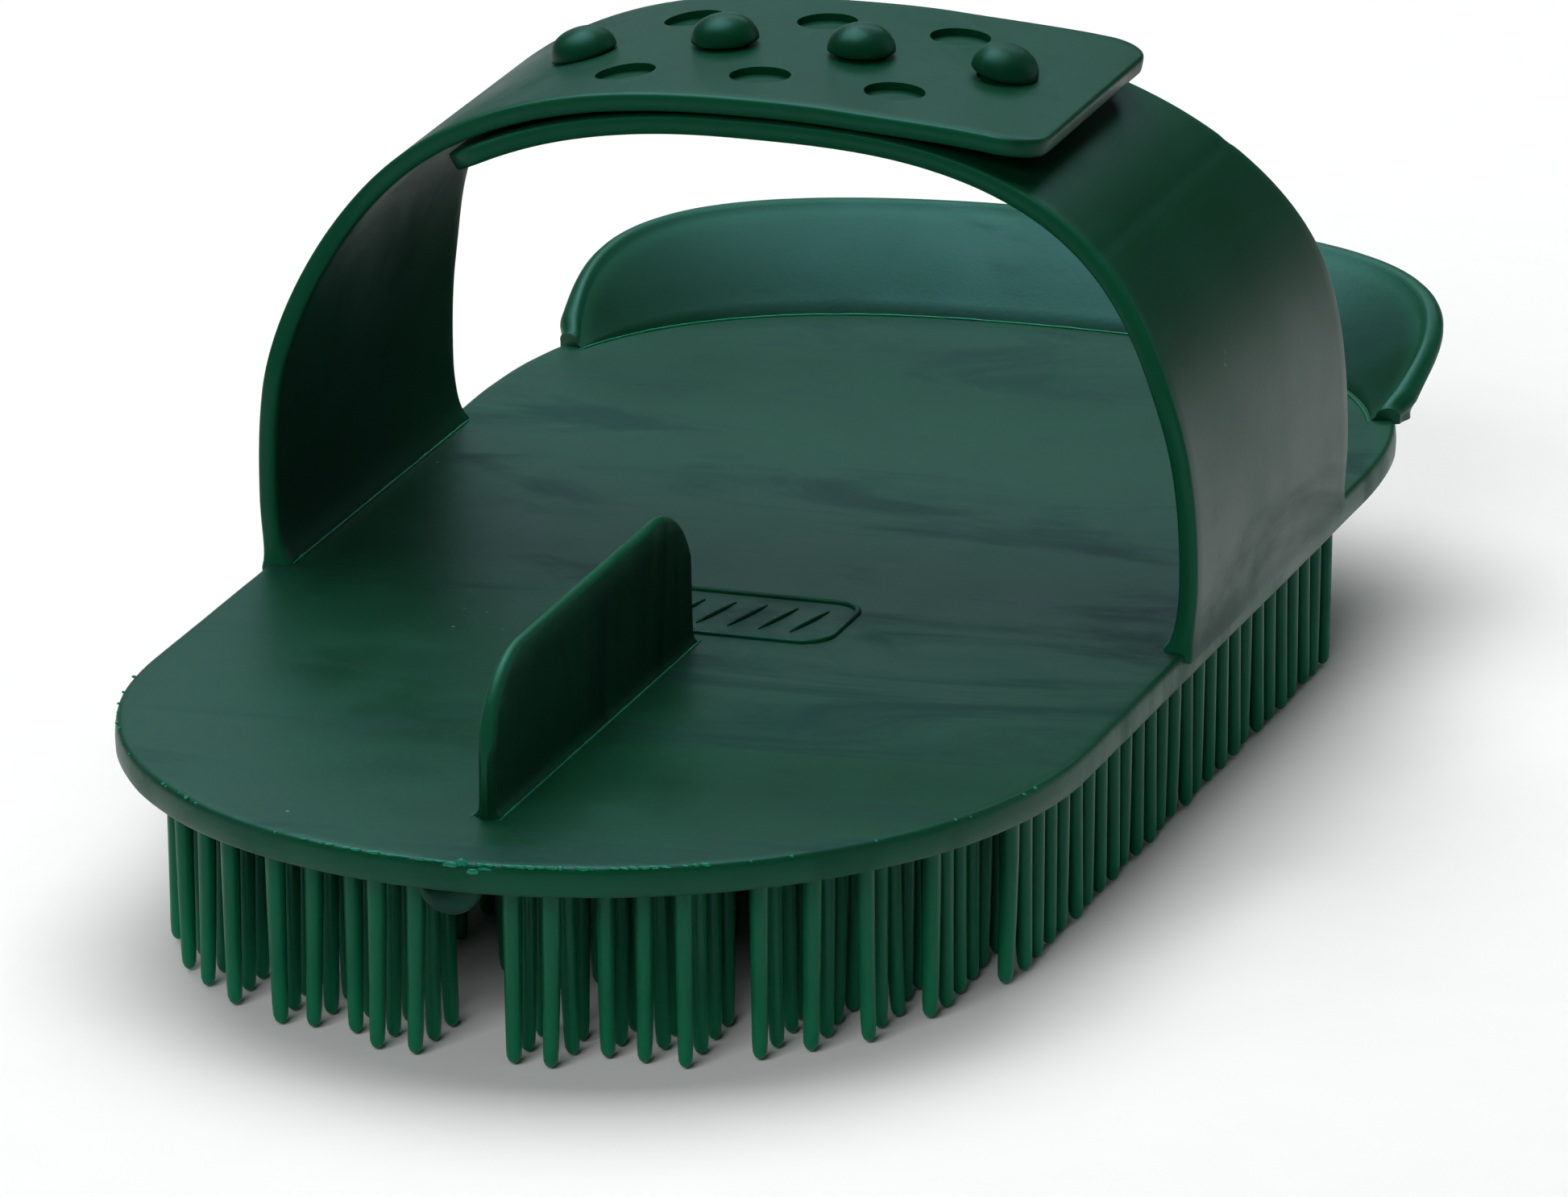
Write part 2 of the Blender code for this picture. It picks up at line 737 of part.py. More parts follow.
def build_emblem(group, tools, material):
    outer = rounded_rectangle(EMBLEM_LENGTH / 2, EMBLEM_WIDTH / 2, EMBLEM_CORNER)
    inner = rounded_rectangle(
        EMBLEM_LENGTH / 2 - EMBLEM_LINE, EMBLEM_WIDTH / 2 - EMBLEM_LINE, EMBLEM_CORNER - EMBLEM_LINE
    )
    height = EMBLEM_RISE
    place = Matrix.Translation((0.0, EMBLEM_CENTRE, PLATE_TOP + GAP + height / 2))
    border = add_object("emblem_border", extruded_outline("border", outer, height, tools), group, material)
    border.data.transform(place)
    hollow = extruded_outline("border hollow", inner, 4 * height, tools)
    hollow.transform(place)
    cut(border, as_tool("border tool", hollow, tools), "DIFFERENCE")
    apply_all(border)
    smooth(border)
    return border


def main():
    clear_scene()
    group = make_collection("curry_brush")
    tools = make_collection("cutters")
    body = make_material("green_rubber", (0.012, 0.085, 0.05), 0.42)
    strap = make_material("green_strap_rubber", (0.012, 0.09, 0.052), 0.38)
    build_pin_plate(group, tools, body)
    build_fin(group, body)
    build_guard(group, tools, body)
    build_right_strap(group, tools, strap)
    build_left_strap(group, tools, strap)
    for index, x in enumerate(stud_places()):
        build_stud(index, x, group, strap)
    build_emblem(group, tools, body)
    bpy.context.view_layer.update()


main()
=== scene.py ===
# Rubber curry brush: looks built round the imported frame
import math
import random

import bmesh
import bpy
from mathutils import Matrix, Vector, noise


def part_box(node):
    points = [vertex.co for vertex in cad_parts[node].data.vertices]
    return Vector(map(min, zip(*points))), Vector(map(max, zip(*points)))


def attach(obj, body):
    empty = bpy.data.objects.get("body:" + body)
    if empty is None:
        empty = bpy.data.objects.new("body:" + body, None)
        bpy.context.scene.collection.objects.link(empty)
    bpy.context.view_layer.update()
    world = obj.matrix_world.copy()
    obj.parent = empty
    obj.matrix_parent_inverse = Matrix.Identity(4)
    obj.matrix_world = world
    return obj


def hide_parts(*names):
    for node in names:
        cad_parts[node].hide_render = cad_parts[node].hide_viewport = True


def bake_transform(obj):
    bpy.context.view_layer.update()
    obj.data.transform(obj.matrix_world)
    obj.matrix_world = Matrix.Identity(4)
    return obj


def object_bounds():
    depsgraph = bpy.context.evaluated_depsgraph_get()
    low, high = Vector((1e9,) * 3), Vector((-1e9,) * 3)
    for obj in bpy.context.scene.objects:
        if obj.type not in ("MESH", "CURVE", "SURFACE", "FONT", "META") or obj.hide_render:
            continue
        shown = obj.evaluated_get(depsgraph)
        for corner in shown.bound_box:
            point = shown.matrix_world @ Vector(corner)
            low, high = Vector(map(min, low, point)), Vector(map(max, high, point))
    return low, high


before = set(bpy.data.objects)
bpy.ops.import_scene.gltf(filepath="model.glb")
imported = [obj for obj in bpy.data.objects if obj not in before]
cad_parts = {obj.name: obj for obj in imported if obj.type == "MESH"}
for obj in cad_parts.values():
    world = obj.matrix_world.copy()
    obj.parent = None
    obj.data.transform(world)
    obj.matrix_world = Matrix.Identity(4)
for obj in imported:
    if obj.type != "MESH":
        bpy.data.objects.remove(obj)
cadLow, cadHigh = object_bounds()
mm = 0.001
dice = random.Random(41)

plateLow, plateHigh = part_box("pin_plate")
strapLow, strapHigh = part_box("strap_right")
guardLow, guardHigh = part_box("end_guard")
finLow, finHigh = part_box("thumb_fin")
emblemLow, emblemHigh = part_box("emblem_border")

plateTop = plateHigh.z
plateMidY = (plateLow.y + plateHigh.y) / 2
halfWidth = (plateHigh.x - plateLow.x) / 2
endCentre = (plateHigh.y - plateLow.y) / 2 - halfWidth
strapMidY = (strapLow.y + strapHigh.y) / 2


# Mesh helpers

def smoothStep(low, high, value):
    part = min(max((value - low) / (high - low), 0.0), 1.0)
    return part * part * (3.0 - 2.0 * part)


def newObject(name, vertices, faces, material=None, smooth=True):
    mesh = bpy.data.meshes.new(name)
    mesh.from_pydata([tuple(v) for v in vertices], [], faces)
    mesh.validate()
    mesh.update()
    piece = bpy.data.objects.new(name, mesh)
    bpy.context.scene.collection.objects.link(piece)
    if material:
        mesh.materials.append(material)
    if smooth:
        mesh.polygons.foreach_set("use_smooth", [True] * len(mesh.polygons))
    return piece


def sweptRings(name, rings, material, capEnds=True):
    # closed rings of equal length joined by quads, with a flat cap at each end
    count = len(rings[0])
    vertices = [v for ring in rings for v in ring]
    faces = []
    for row in range(len(rings) - 1):
        for step in range(count):
            a = row * count + step
            b = row * count + (step + 1) % count
            faces.append((a, b, b + count, a + count))
    if capEnds:
        faces.append(tuple(reversed(range(count))))
        last = (len(rings) - 1) * count
        faces.append(tuple(range(last, last + count)))
    piece = newObject(name, vertices, faces, material)
    fixNormals(piece)
    return piece


def fixNormals(piece):
    work = bmesh.new()
    work.from_mesh(piece.data)
    bmesh.ops.recalc_face_normals(work, faces=work.faces)
    work.to_mesh(piece.data)
    work.free()


def sharpEdges(piece, degrees):
    limit = math.radians(degrees)
    work = bmesh.new()
    work.from_mesh(piece.data)
    for face in work.faces:
        face.smooth = True
    for edge in work.edges:
        edge.smooth = len(edge.link_faces) != 2 or edge.calc_face_angle(0.0) < limit
    work.to_mesh(piece.data)
    work.free()


def markPaintedGlow(piece, amountAt):
    # stores a painted glow amount at each vertex: lighter green painted where light shows through thin rubber
    values = [min(max(amountAt(vertex.co), 0.0), 1.0) for vertex in piece.data.vertices]
    layer = piece.data.attributes.new("thin", "FLOAT", "POINT")
    layer.data.foreach_set("value", values)


def bakeModifiers(piece):
    bpy.context.view_layer.update()
    graph = bpy.context.evaluated_depsgraph_get()
    mesh = bpy.data.meshes.new_from_object(piece.evaluated_get(graph))
    piece.modifiers.clear()
    piece.data = mesh


def roundedSection(halfWide, halfThick, corner, acrossSteps, cornerSteps):
    # closed outline of a flat bar with rounded corners, as (across, out) pairs
    corner = min(corner, halfThick * 0.98, halfWide * 0.98)
    section = []
    flat = halfWide - corner
    for step in range(acrossSteps):
        section.append((flat - 2 * flat * step / acrossSteps, halfThick))
    for step in range(cornerSteps * 2):
        angle = math.pi / 2 + math.pi * step / (cornerSteps * 2)
        rise = math.sin(angle)
        drop = math.copysign(halfThick - corner, rise) if abs(rise) > 1e-6 else 0.0
        section.append((-flat + corner * math.cos(angle), drop + corner * rise))
    for step in range(acrossSteps):
        section.append((-flat + 2 * flat * step / acrossSteps, -halfThick))
    for step in range(cornerSteps * 2):
        angle = -math.pi / 2 + math.pi * step / (cornerSteps * 2)
        rise = math.sin(angle)
        drop = math.copysign(halfThick - corner, rise) if abs(rise) > 1e-6 else 0.0
        section.append((flat + corner * math.cos(angle), drop + corner * rise))
    return section


def tubeAlong(name, places, radius, material, sides=8, waver=0.0):
    # a thin round bead along a line of points
    rings = []
    for index, place in enumerate(places):
        before = places[max(index - 1, 0)]
        after = places[min(index + 1, len(places) - 1)]
        way = (after - before).normalized()
        side = way.cross(Vector((0, 0, 1))).normalized()
        up = side.cross(way).normalized()
        ends = min(index, len(places) - 1 - index)
        size = radius * min(1.0, 0.25 + ends / 3.0)
        size *= 1.0 + waver * noise.noise(place * 900.0)
        ring = []
        for step in range(sides):
            angle = 2 * math.pi * step / sides
            ring.append(place + side * math.cos(angle) * size + up * math.sin(angle) * size)
        rings.append(ring)
    return sweptRings(name, rings, material)


# Shader groups and the four greens

def socketOf(group, kind, name, direction, value=None):
    made = group.interface.new_socket(name=name, in_out=direction, socket_type=kind)
    if value is not None:
        made.default_value = value
    return made


def link(tree, output, target):
    tree.links.new(output, target)


def addNode(tree, kind, place, **settings):
    node = tree.nodes.new(kind)
    node.location = place
    for name, value in settings.items():
        setattr(node, name, value)
    return node


def buildSkinGroup():
    # fine moulded skin: mottling, dark streaks, dust specks and a height for bump
    group = bpy.data.node_groups.new("mouldedSkin", "ShaderNodeTree")
    socketOf(group, "NodeSocketFloat", "Grain Scale", "INPUT", 2200.0)
    socketOf(group, "NodeSocketFloat", "Streak Scale", "INPUT", 28.0)
    socketOf(group, "NodeSocketFloat", "Streak Stretch", "INPUT", 3.0)
    socketOf(group, "NodeSocketFloat", "Speck Scale", "INPUT", 420.0)
    socketOf(group, "NodeSocketFloat", "Mottle", "OUTPUT")
    socketOf(group, "NodeSocketFloat", "Streak", "OUTPUT")
    socketOf(group, "NodeSocketFloat", "Speck", "OUTPUT")
    socketOf(group, "NodeSocketFloat", "Height", "OUTPUT")
    start = addNode(group, "NodeGroupInput", (-1000, 0))
    end = addNode(group, "NodeGroupOutput", (900, 0))
    coords = addNode(group, "ShaderNodeTexCoord", (-1000, 300))
    mottle = addNode(group, "ShaderNodeTexNoise", (-500, 400))
    mottle.inputs["Scale"].default_value = 95.0
    mottle.inputs["Detail"].default_value = 5.0
    link(group, coords.outputs["Object"], mottle.inputs["Vector"])
    stretch = addNode(group, "ShaderNodeCombineXYZ", (-780, 150))
    stretch.inputs["Y"].default_value = 1.0
    stretch.inputs["Z"].default_value = 1.0
    link(group, start.outputs["Streak Stretch"], stretch.inputs["Y"])
    scaled = addNode(group, "ShaderNodeVectorMath", (-620, 150), operation="MULTIPLY")
    link(group, coords.outputs["Object"], scaled.inputs[0])
    link(group, stretch.outputs[0], scaled.inputs[1])
    stretch.inputs["X"].default_value = 1.0
    streak = addNode(group, "ShaderNodeTexNoise", (-440, 150))
    streak.inputs["Detail"].default_value = 6.0
    streak.inputs["Roughness"].default_value = 0.62
    streak.inputs["Distortion"].default_value = 0.8
    link(group, scaled.outputs[0], streak.inputs["Vector"])
    link(group, start.outputs["Streak Scale"], streak.inputs["Scale"])
    streakRamp = addNode(group, "ShaderNodeMapRange", (-200, 150), interpolation_type="SMOOTHSTEP")
    streakRamp.inputs["From Min"].default_value = 0.5
    streakRamp.inputs["From Max"].default_value = 0.68
    link(group, streak.outputs["Fac"], streakRamp.inputs["Value"])
    speck = addNode(group, "ShaderNodeTexVoronoi", (-440, -150))
    link(group, coords.outputs["Object"], speck.inputs["Vector"])
    link(group, start.outputs["Speck Scale"], speck.inputs["Scale"])
    speckSize = addNode(group, "ShaderNodeMapRange", (-200, -150))
    speckSize.inputs["From Min"].default_value = 0.10
    speckSize.inputs["From Max"].default_value = 0.04
    link(group, speck.outputs["Distance"], speckSize.inputs["Value"])
    speckPick = addNode(group, "ShaderNodeTexNoise", (-440, -380))
    speckPick.inputs["Scale"].default_value = 60.0
    link(group, coords.outputs["Object"], speckPick.inputs["Vector"])
    speckGate = addNode(group, "ShaderNodeMapRange", (-200, -380))
    speckGate.inputs["From Min"].default_value = 0.62
    speckGate.inputs["From Max"].default_value = 0.70
    link(group, speckPick.outputs["Fac"], speckGate.inputs["Value"])
    speckBoth = addNode(group, "ShaderNodeMath", (0, -200), operation="MULTIPLY")
    link(group, speckSize.outputs[0], speckBoth.inputs[0])
    link(group, speckGate.outputs[0], speckBoth.inputs[1])
    grain = addNode(group, "ShaderNodeTexNoise", (-440, -620))
    grain.inputs["Detail"].default_value = 3.0
    link(group, coords.outputs["Object"], grain.inputs["Vector"])
    link(group, start.outputs["Grain Scale"], grain.inputs["Scale"])
    wave = addNode(group, "ShaderNodeTexNoise", (-440, -860))
    wave.inputs["Scale"].default_value = 34.0
    wave.inputs["Detail"].default_value = 2.0
    link(group, coords.outputs["Object"], wave.inputs["Vector"])
    grainPart = addNode(group, "ShaderNodeMath", (-120, -620), operation="MULTIPLY")
    grainPart.inputs[1].default_value = 0.10
    link(group, grain.outputs["Fac"], grainPart.inputs[0])
    heightSum = addNode(group, "ShaderNodeMath", (120, -620), operation="ADD")
    link(group, grainPart.outputs[0], heightSum.inputs[0])
    link(group, wave.outputs["Fac"], heightSum.inputs[1])
    heightSpeck = addNode(group, "ShaderNodeMath", (320, -500), operation="MULTIPLY_ADD")
    heightSpeck.inputs[1].default_value = 0.35
    link(group, speckBoth.outputs[0], heightSpeck.inputs[0])
    link(group, heightSum.outputs[0], heightSpeck.inputs[2])
    link(group, mottle.outputs["Fac"], end.inputs["Mottle"])
    link(group, streakRamp.outputs[0], end.inputs["Streak"])
    link(group, speckBoth.outputs[0], end.inputs["Speck"])
    link(group, heightSpeck.outputs[0], end.inputs["Height"])
    return group


skinGroup = buildSkinGroup()


def mouldedMaterial(name, look):
    material = bpy.data.materials.new(name)
    material.use_nodes = True
    tree = material.node_tree
    shader = tree.nodes["Principled BSDF"]
    skin = addNode(tree, "ShaderNodeGroup", (-900, 0), node_tree=skinGroup)
    skin.inputs["Grain Scale"].default_value = look["grainScale"]
    skin.inputs["Streak Scale"].default_value = look["streakScale"]
    skin.inputs["Streak Stretch"].default_value = look["streakStretch"]
    skin.inputs["Speck Scale"].default_value = look["speckScale"]
    tone = addNode(tree, "ShaderNodeMix", (-600, 250), data_type="RGBA")
    tone.inputs[6].default_value = (*look["deep"], 1.0)
    tone.inputs[7].default_value = (*look["light"], 1.0)
    link(tree, skin.outputs["Mottle"], tone.inputs[0])
    dull = addNode(tree, "ShaderNodeMix", (-400, 250), data_type="RGBA")
    dull.inputs[7].default_value = (*look["streakColour"], 1.0)
    dullAmount = addNode(tree, "ShaderNodeMath", (-600, 0), operation="MULTIPLY")
    dullAmount.inputs[1].default_value = look["streakAmount"]
    link(tree, skin.outputs["Streak"], dullAmount.inputs[0])
    link(tree, dullAmount.outputs[0], dull.inputs[0])
    link(tree, tone.outputs[2], dull.inputs[6])
    dusty = addNode(tree, "ShaderNodeMix", (-200, 250), data_type="RGBA")
    dusty.inputs[7].default_value = (*look["speckColour"], 1.0)
    speckAmount = addNode(tree, "ShaderNodeMath", (-600, -150), operation="MULTIPLY")
    speckAmount.inputs[1].default_value = look["speckAmount"]
    link(tree, skin.outputs["Speck"], speckAmount.inputs[0])
    link(tree, speckAmount.outputs[0], dusty.inputs[0])
    link(tree, dull.outputs[2], dusty.inputs[6])
    # painted glow: base colour mixed towards a lighter green by the stored glow amount
    thin = addNode(tree, "ShaderNodeAttribute", (-400, 500), attribute_name="thin")
    paintedGlowMix = addNode(tree, "ShaderNodeMix", (0, 250), data_type="RGBA")
    paintedGlowMix.inputs[7].default_value = (*look["paintedGlowColour"], 1.0)
    link(tree, thin.outputs["Fac"], paintedGlowMix.inputs[0])
    link(tree, dusty.outputs[2], paintedGlowMix.inputs[6])
    link(tree, paintedGlowMix.outputs[2], shader.inputs["Base Color"])
    rough = addNode(tree, "ShaderNodeMapRange", (-400, -100))
    rough.inputs["To Min"].default_value = look["roughLow"]
    rough.inputs["To Max"].default_value = look["roughHigh"]
    rough.inputs["From Min"].default_value = 0.3
    rough.inputs["From Max"].default_value = 0.7
    link(tree, skin.outputs["Mottle"], rough.inputs["Value"])
    roughSum = addNode(tree, "ShaderNodeMath", (-200, -100), operation="MULTIPLY_ADD")
    roughSum.inputs[1].default_value = look["streakRough"]
    link(tree, skin.outputs["Streak"], roughSum.inputs[0])
    link(tree, rough.outputs[0], roughSum.inputs[2])
    link(tree, roughSum.outputs[0], shader.inputs["Roughness"])
    bump = addNode(tree, "ShaderNodeBump", (-200, -350))
    bump.inputs["Strength"].default_value = look["bump"]
    bump.inputs["Distance"].default_value = look["bumpDepth"]
    link(tree, skin.outputs["Height"], bump.inputs["Height"])
    link(tree, bump.outputs["Normal"], shader.inputs["Normal"])
    shader.inputs["IOR"].default_value = 1.5
    shader.inputs["Specular IOR Level"].default_value = look["specular"]
    shader.inputs["Specular Tint"].default_value = (*look["sheenTint"], 1.0)
    shader.inputs["Subsurface Weight"].default_value = look["glow"]
    shader.inputs["Subsurface Radius"].default_value = (0.15, 1.0, 0.45)
    shader.inputs["Subsurface Scale"].default_value = look["glowDepth"]
    return material


# the edge colour below is a painted glow, mixed in where light shows through thin edges
plateLook = {
    "deep": (0.0010, 0.026, 0.009), "light": (0.0020, 0.039, 0.015), "paintedGlowColour": (0.003, 0.058, 0.025),
    "streakColour": (0.001, 0.014, 0.009), "streakAmount": 0.85, "streakRough": 0.16,
    "speckColour": (0.20, 0.32, 0.28), "speckAmount": 0.6,
    "roughLow": 0.36, "roughHigh": 0.46, "bump": 0.35, "bumpDepth": 0.00045,
    "grainScale": 2400.0, "streakScale": 22.0, "streakStretch": 3.2, "speckScale": 380.0,
    "specular": 0.24, "sheenTint": (0.50, 0.95, 1.0), "glow": 0.25, "glowDepth": 0.0016,
}
strapLook = dict(plateLook, roughLow=0.34, roughHigh=0.42, streakAmount=0.25, streakStretch=0.5,
                 streakScale=30.0, bump=0.28, specular=0.18,
                 deep=(0.0010, 0.026, 0.010), light=(0.0020, 0.039, 0.016))
# pins are the same rubber as the plate, painted lighter to stand in for light through and onto them
pinLook = dict(plateLook, roughLow=0.32, roughHigh=0.42, streakAmount=0.15, speckAmount=0.2, glow=0.55,
               glowDepth=0.0022, deep=(0.0012, 0.062, 0.024), light=(0.0025, 0.092, 0.038), bump=0.2,
               paintedGlowColour=(0.004, 0.13, 0.058))
# flash, seams and crumbs: a bright copy of the same rubber, a painted highlight and glow
flashLook = dict(plateLook, roughLow=0.28, roughHigh=0.36, streakAmount=0.0, glow=0.6, glowDepth=0.001,
                 deep=(0.004, 0.10, 0.055), light=(0.012, 0.17, 0.10), bump=0.5)
plateGreen = mouldedMaterial("satinPlateGreen", plateLook)
strapGreen = mouldedMaterial("satinStrapGreen", strapLook)
pinGreen = mouldedMaterial("pinGreenPaintedLighter", pinLook)
flashHighlightGreen = mouldedMaterial("trimmedEdgeHighlightGreen", flashLook)
print("materials ready")


# Plate and pins

plateShape = {
    "outlineSteps": 88, "straightSteps": 26, "rimWaver": 0.10 * mm, "topWaver": 0.07 * mm,
    "profile": [(1.6, -3.1), (0.75, -3.08), (0.30, -2.92), (0.10, -2.6), (0.04, -1.6), (0.10, -0.7),
                (0.22, -0.30), (0.42, -0.08), (0.75, 0.0), (1.6, -0.02)],
    "innerRings": [3.0, 6.0, 11.0, 18.0, 26.0, 34.0, 41.0, 45.5], "farSquareness": 2.5,
}


def squaredOff(x, y):
    # beyond the far end's centre the outline is a little squarer than a circle
    centre = plateMidY + endCentre
    ahead = y - centre
    if ahead <= 0.0:
        return x, y
    reach = math.hypot(x, ahead)
    power = plateShape["farSquareness"]
    share = (abs(x) / reach) ** power + (ahead / reach) ** power
    grow = share ** (-1.0 / power)
    return x * grow, centre + ahead * grow


def outlineAt(inset):
    # points round the plate, inset in metres
    radius = halfWidth - inset
    places = []
    turns = plateShape["outlineSteps"]
    straights = plateShape["straightSteps"]
    for step in range(turns):
        angle = math.pi + math.pi * step / turns
        places.append((radius * math.cos(angle), plateMidY - endCentre + radius * math.sin(angle)))
    for step in range(straights):
        places.append((radius, plateMidY - endCentre + 2 * endCentre * step / straights))
    for step in range(turns):
        angle = math.pi * step / turns
        places.append(squaredOff(radius * math.cos(angle), plateMidY + endCentre + radius * math.sin(angle)))
    for step in range(straights):
        places.append((-radius, plateMidY + endCentre - 2 * endCentre * step / straights))
    return places


def buildPlate():
    rings = []
    for inset, drop in plateShape["profile"]:
        ring = []
        for x, y in outlineAt(inset * mm):
            shake = noise.noise(Vector((x, y, drop * mm)) * 70.0) * plateShape["rimWaver"]
            lift = noise.noise(Vector((x * 160.0, y * 160.0, 4.0))) * plateShape["topWaver"]
            spine = max(min(y, plateMidY + endCentre), plateMidY - endCentre)
            away = Vector((x, y - spine, 0.0)).normalized()
            edge = 1.0 if inset < 1.5 else 0.0
            z = plateTop + drop * mm - abs(lift) * (1.0 if drop > -1.0 else 0.0) * edge
            point = Vector((x, y, z)) - away * abs(shake) * edge
            ring.append(point)
        rings.append(ring)
    for inset in plateShape["innerRings"]:
        rings.append([Vector((x, y, plateTop - 0.02 * mm)) for x, y in outlineAt(inset * mm)])
    plate = sweptRings("plateBody", rings, plateGreen)
    sharpEdges(plate, 50)

    # painted glow: lighter green along the plate's rim edge
    def rimGlow(spot):
        ahead = max(abs(spot.y - plateMidY) - endCentre, 0.0)
        inset = halfWidth - math.hypot(spot.x, ahead)
        return 0.55 * (1.0 - smoothStep(0.1 * mm, 0.9 * mm, inset))

    markPaintedGlow(plate, rimGlow)
    return plate


pinShape = {
    "length": plateHigh.z - plateLow.z - 3.1 * mm, "pitch": 3.85 * mm, "centreLane": 9.5 * mm,
    "sideLane": 6.0 * mm, "innerColumns": 5, "rimInset": 5.0 * mm, "bandWidth": 11.0 * mm,
    "bandGap": 6.0 * mm, "sides": 10, "lean": 0.22 * mm,
    "profile": [(-0.4, 1.25), (0.0, 1.22), (0.35, 1.02), (1.1, 0.95), (6.0, 0.90), (12.0, 0.82),
                (16.5, 0.76), (17.6, 0.70), (18.05, 0.52), (18.3, 0.26)],
}


def pinPlaces():
    limit = halfWidth - pinShape["rimInset"]
    columns = []
    place = pinShape["centreLane"] / 2
    while place < limit:
        columns.append(place)
        place += pinShape["sideLane"] if len(columns) == pinShape["innerColumns"] else pinShape["pitch"]
    rows = int((endCentre + limit) / pinShape["pitch"])
    places = []
    for column, x in enumerate(columns):
        for row in range(-rows, rows + 1):
            y = row * pinShape["pitch"]
            beyond = max(abs(y) - endCentre, 0.0)
            inset = limit - math.hypot(x, beyond)
            if inset < -0.2 * mm:
                continue
            inBand = inset < pinShape["bandWidth"]
            inIsland = inset > pinShape["bandWidth"] + pinShape["bandGap"]
            if inBand or (inIsland and column % 2 == 0 and row % 2 == 0):
                places.append((x, y + plateMidY, inset))
                places.append((-x, y + plateMidY, inset))
    return places


def buildPins():
    vertices = []
    faces = []
    sides = pinShape["sides"]
    rootZ = plateLow.z + pinShape["length"]
    for x, y, inset in pinPlaces():
        leanX = dice.gauss(0.0, pinShape["lean"])
        leanY = dice.gauss(0.0, pinShape["lean"])
        turn = dice.random() * math.pi
        fat = 1.0 + dice.uniform(-0.03, 0.03)
        start = len(vertices)
        for drop, radius in pinShape["profile"]:
            part = max(drop, 0.0) / 18.4
            bend = part * part
            for step in range(sides):
                angle = turn + 2 * math.pi * step / sides
                vertices.append((
                    x + leanX * bend + radius * fat * mm * math.cos(angle),
                    y + leanY * bend + radius * fat * mm * math.sin(angle),
                    rootZ - drop * mm,
                ))
        tip = len(vertices)
        vertices.append((x + leanX, y + leanY, rootZ - 18.38 * mm))
        rows = len(pinShape["profile"])
        for row in range(rows - 1):
            for step in range(sides):
                a = start + row * sides + step
                b = start + row * sides + (step + 1) % sides
                faces.append((a, a + sides, b + sides, b))
        last = start + (rows - 1) * sides
        for step in range(sides):
            faces.append((last + step, tip, last + (step + 1) % sides))
        faces.append(tuple(start + step for step in range(sides)))
    pins = newObject("pinField", vertices, faces, pinGreen)
    fixNormals(pins)
    # painted glow and light: pins painted lighter towards their tips
    markPaintedGlow(pins, lambda spot: 1.0 - smoothStep(0.5 * mm, 9.0 * mm, spot.z - plateLow.z))
    return pins


def buildGateWeb():
    # small half-round web left under the plate inside the near rim
    rings = []
    radius = 3.2 * mm
    for depth, size in ((-0.8, 0.80), (-0.7, 0.95), (-0.4, 1.0), (0.4, 1.0), (0.7, 0.95), (0.8, 0.80)):
        ring = []
        for step in range(25):
            angle = math.pi + math.pi * step / 24
            ring.append(Vector((
                radius * size * math.cos(angle),
                plateLow.y + 3.2 * mm + depth * mm,
                plateTop - 2.9 * mm + radius * size * math.sin(angle),
            )))
        rings.append(ring)
    return sweptRings("gateWeb", rings, plateGreen)


plateBody = buildPlate()
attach(plateBody, "brush_body")
pinField = buildPins()
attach(pinField, "brush_body")
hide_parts("pin_plate")
gateWeb = buildGateWeb()
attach(gateWeb, "brush_body")
print("plate and pins ready")


# Fin

finShape = {"neck": 1.75, "top": 1.45, "frontRun": 10.0, "backRadius": 9.0, "crest": 0.75, "flare": 0.55}


def finTopAt(y):
    # height of the fin above the plate at a place along it
    full = finHigh.z - plateTop
    fromNear = y - finLow.y
    fromFar = finHigh.y - y
    run = finShape["frontRun"] * mm
    back = finShape["backRadius"] * mm
    height = full
    if fromNear < run:
        part = 1.0 - fromNear / run
        height = full - run * (1.0 - math.sqrt(max(1.0 - part * part, 0.0)))
    if fromFar < back:
        part = 1.0 - fromFar / back
        height = min(height, full - back * (1.0 - math.sqrt(max(1.0 - part * part, 0.0))))
    return max(height, 0.0)


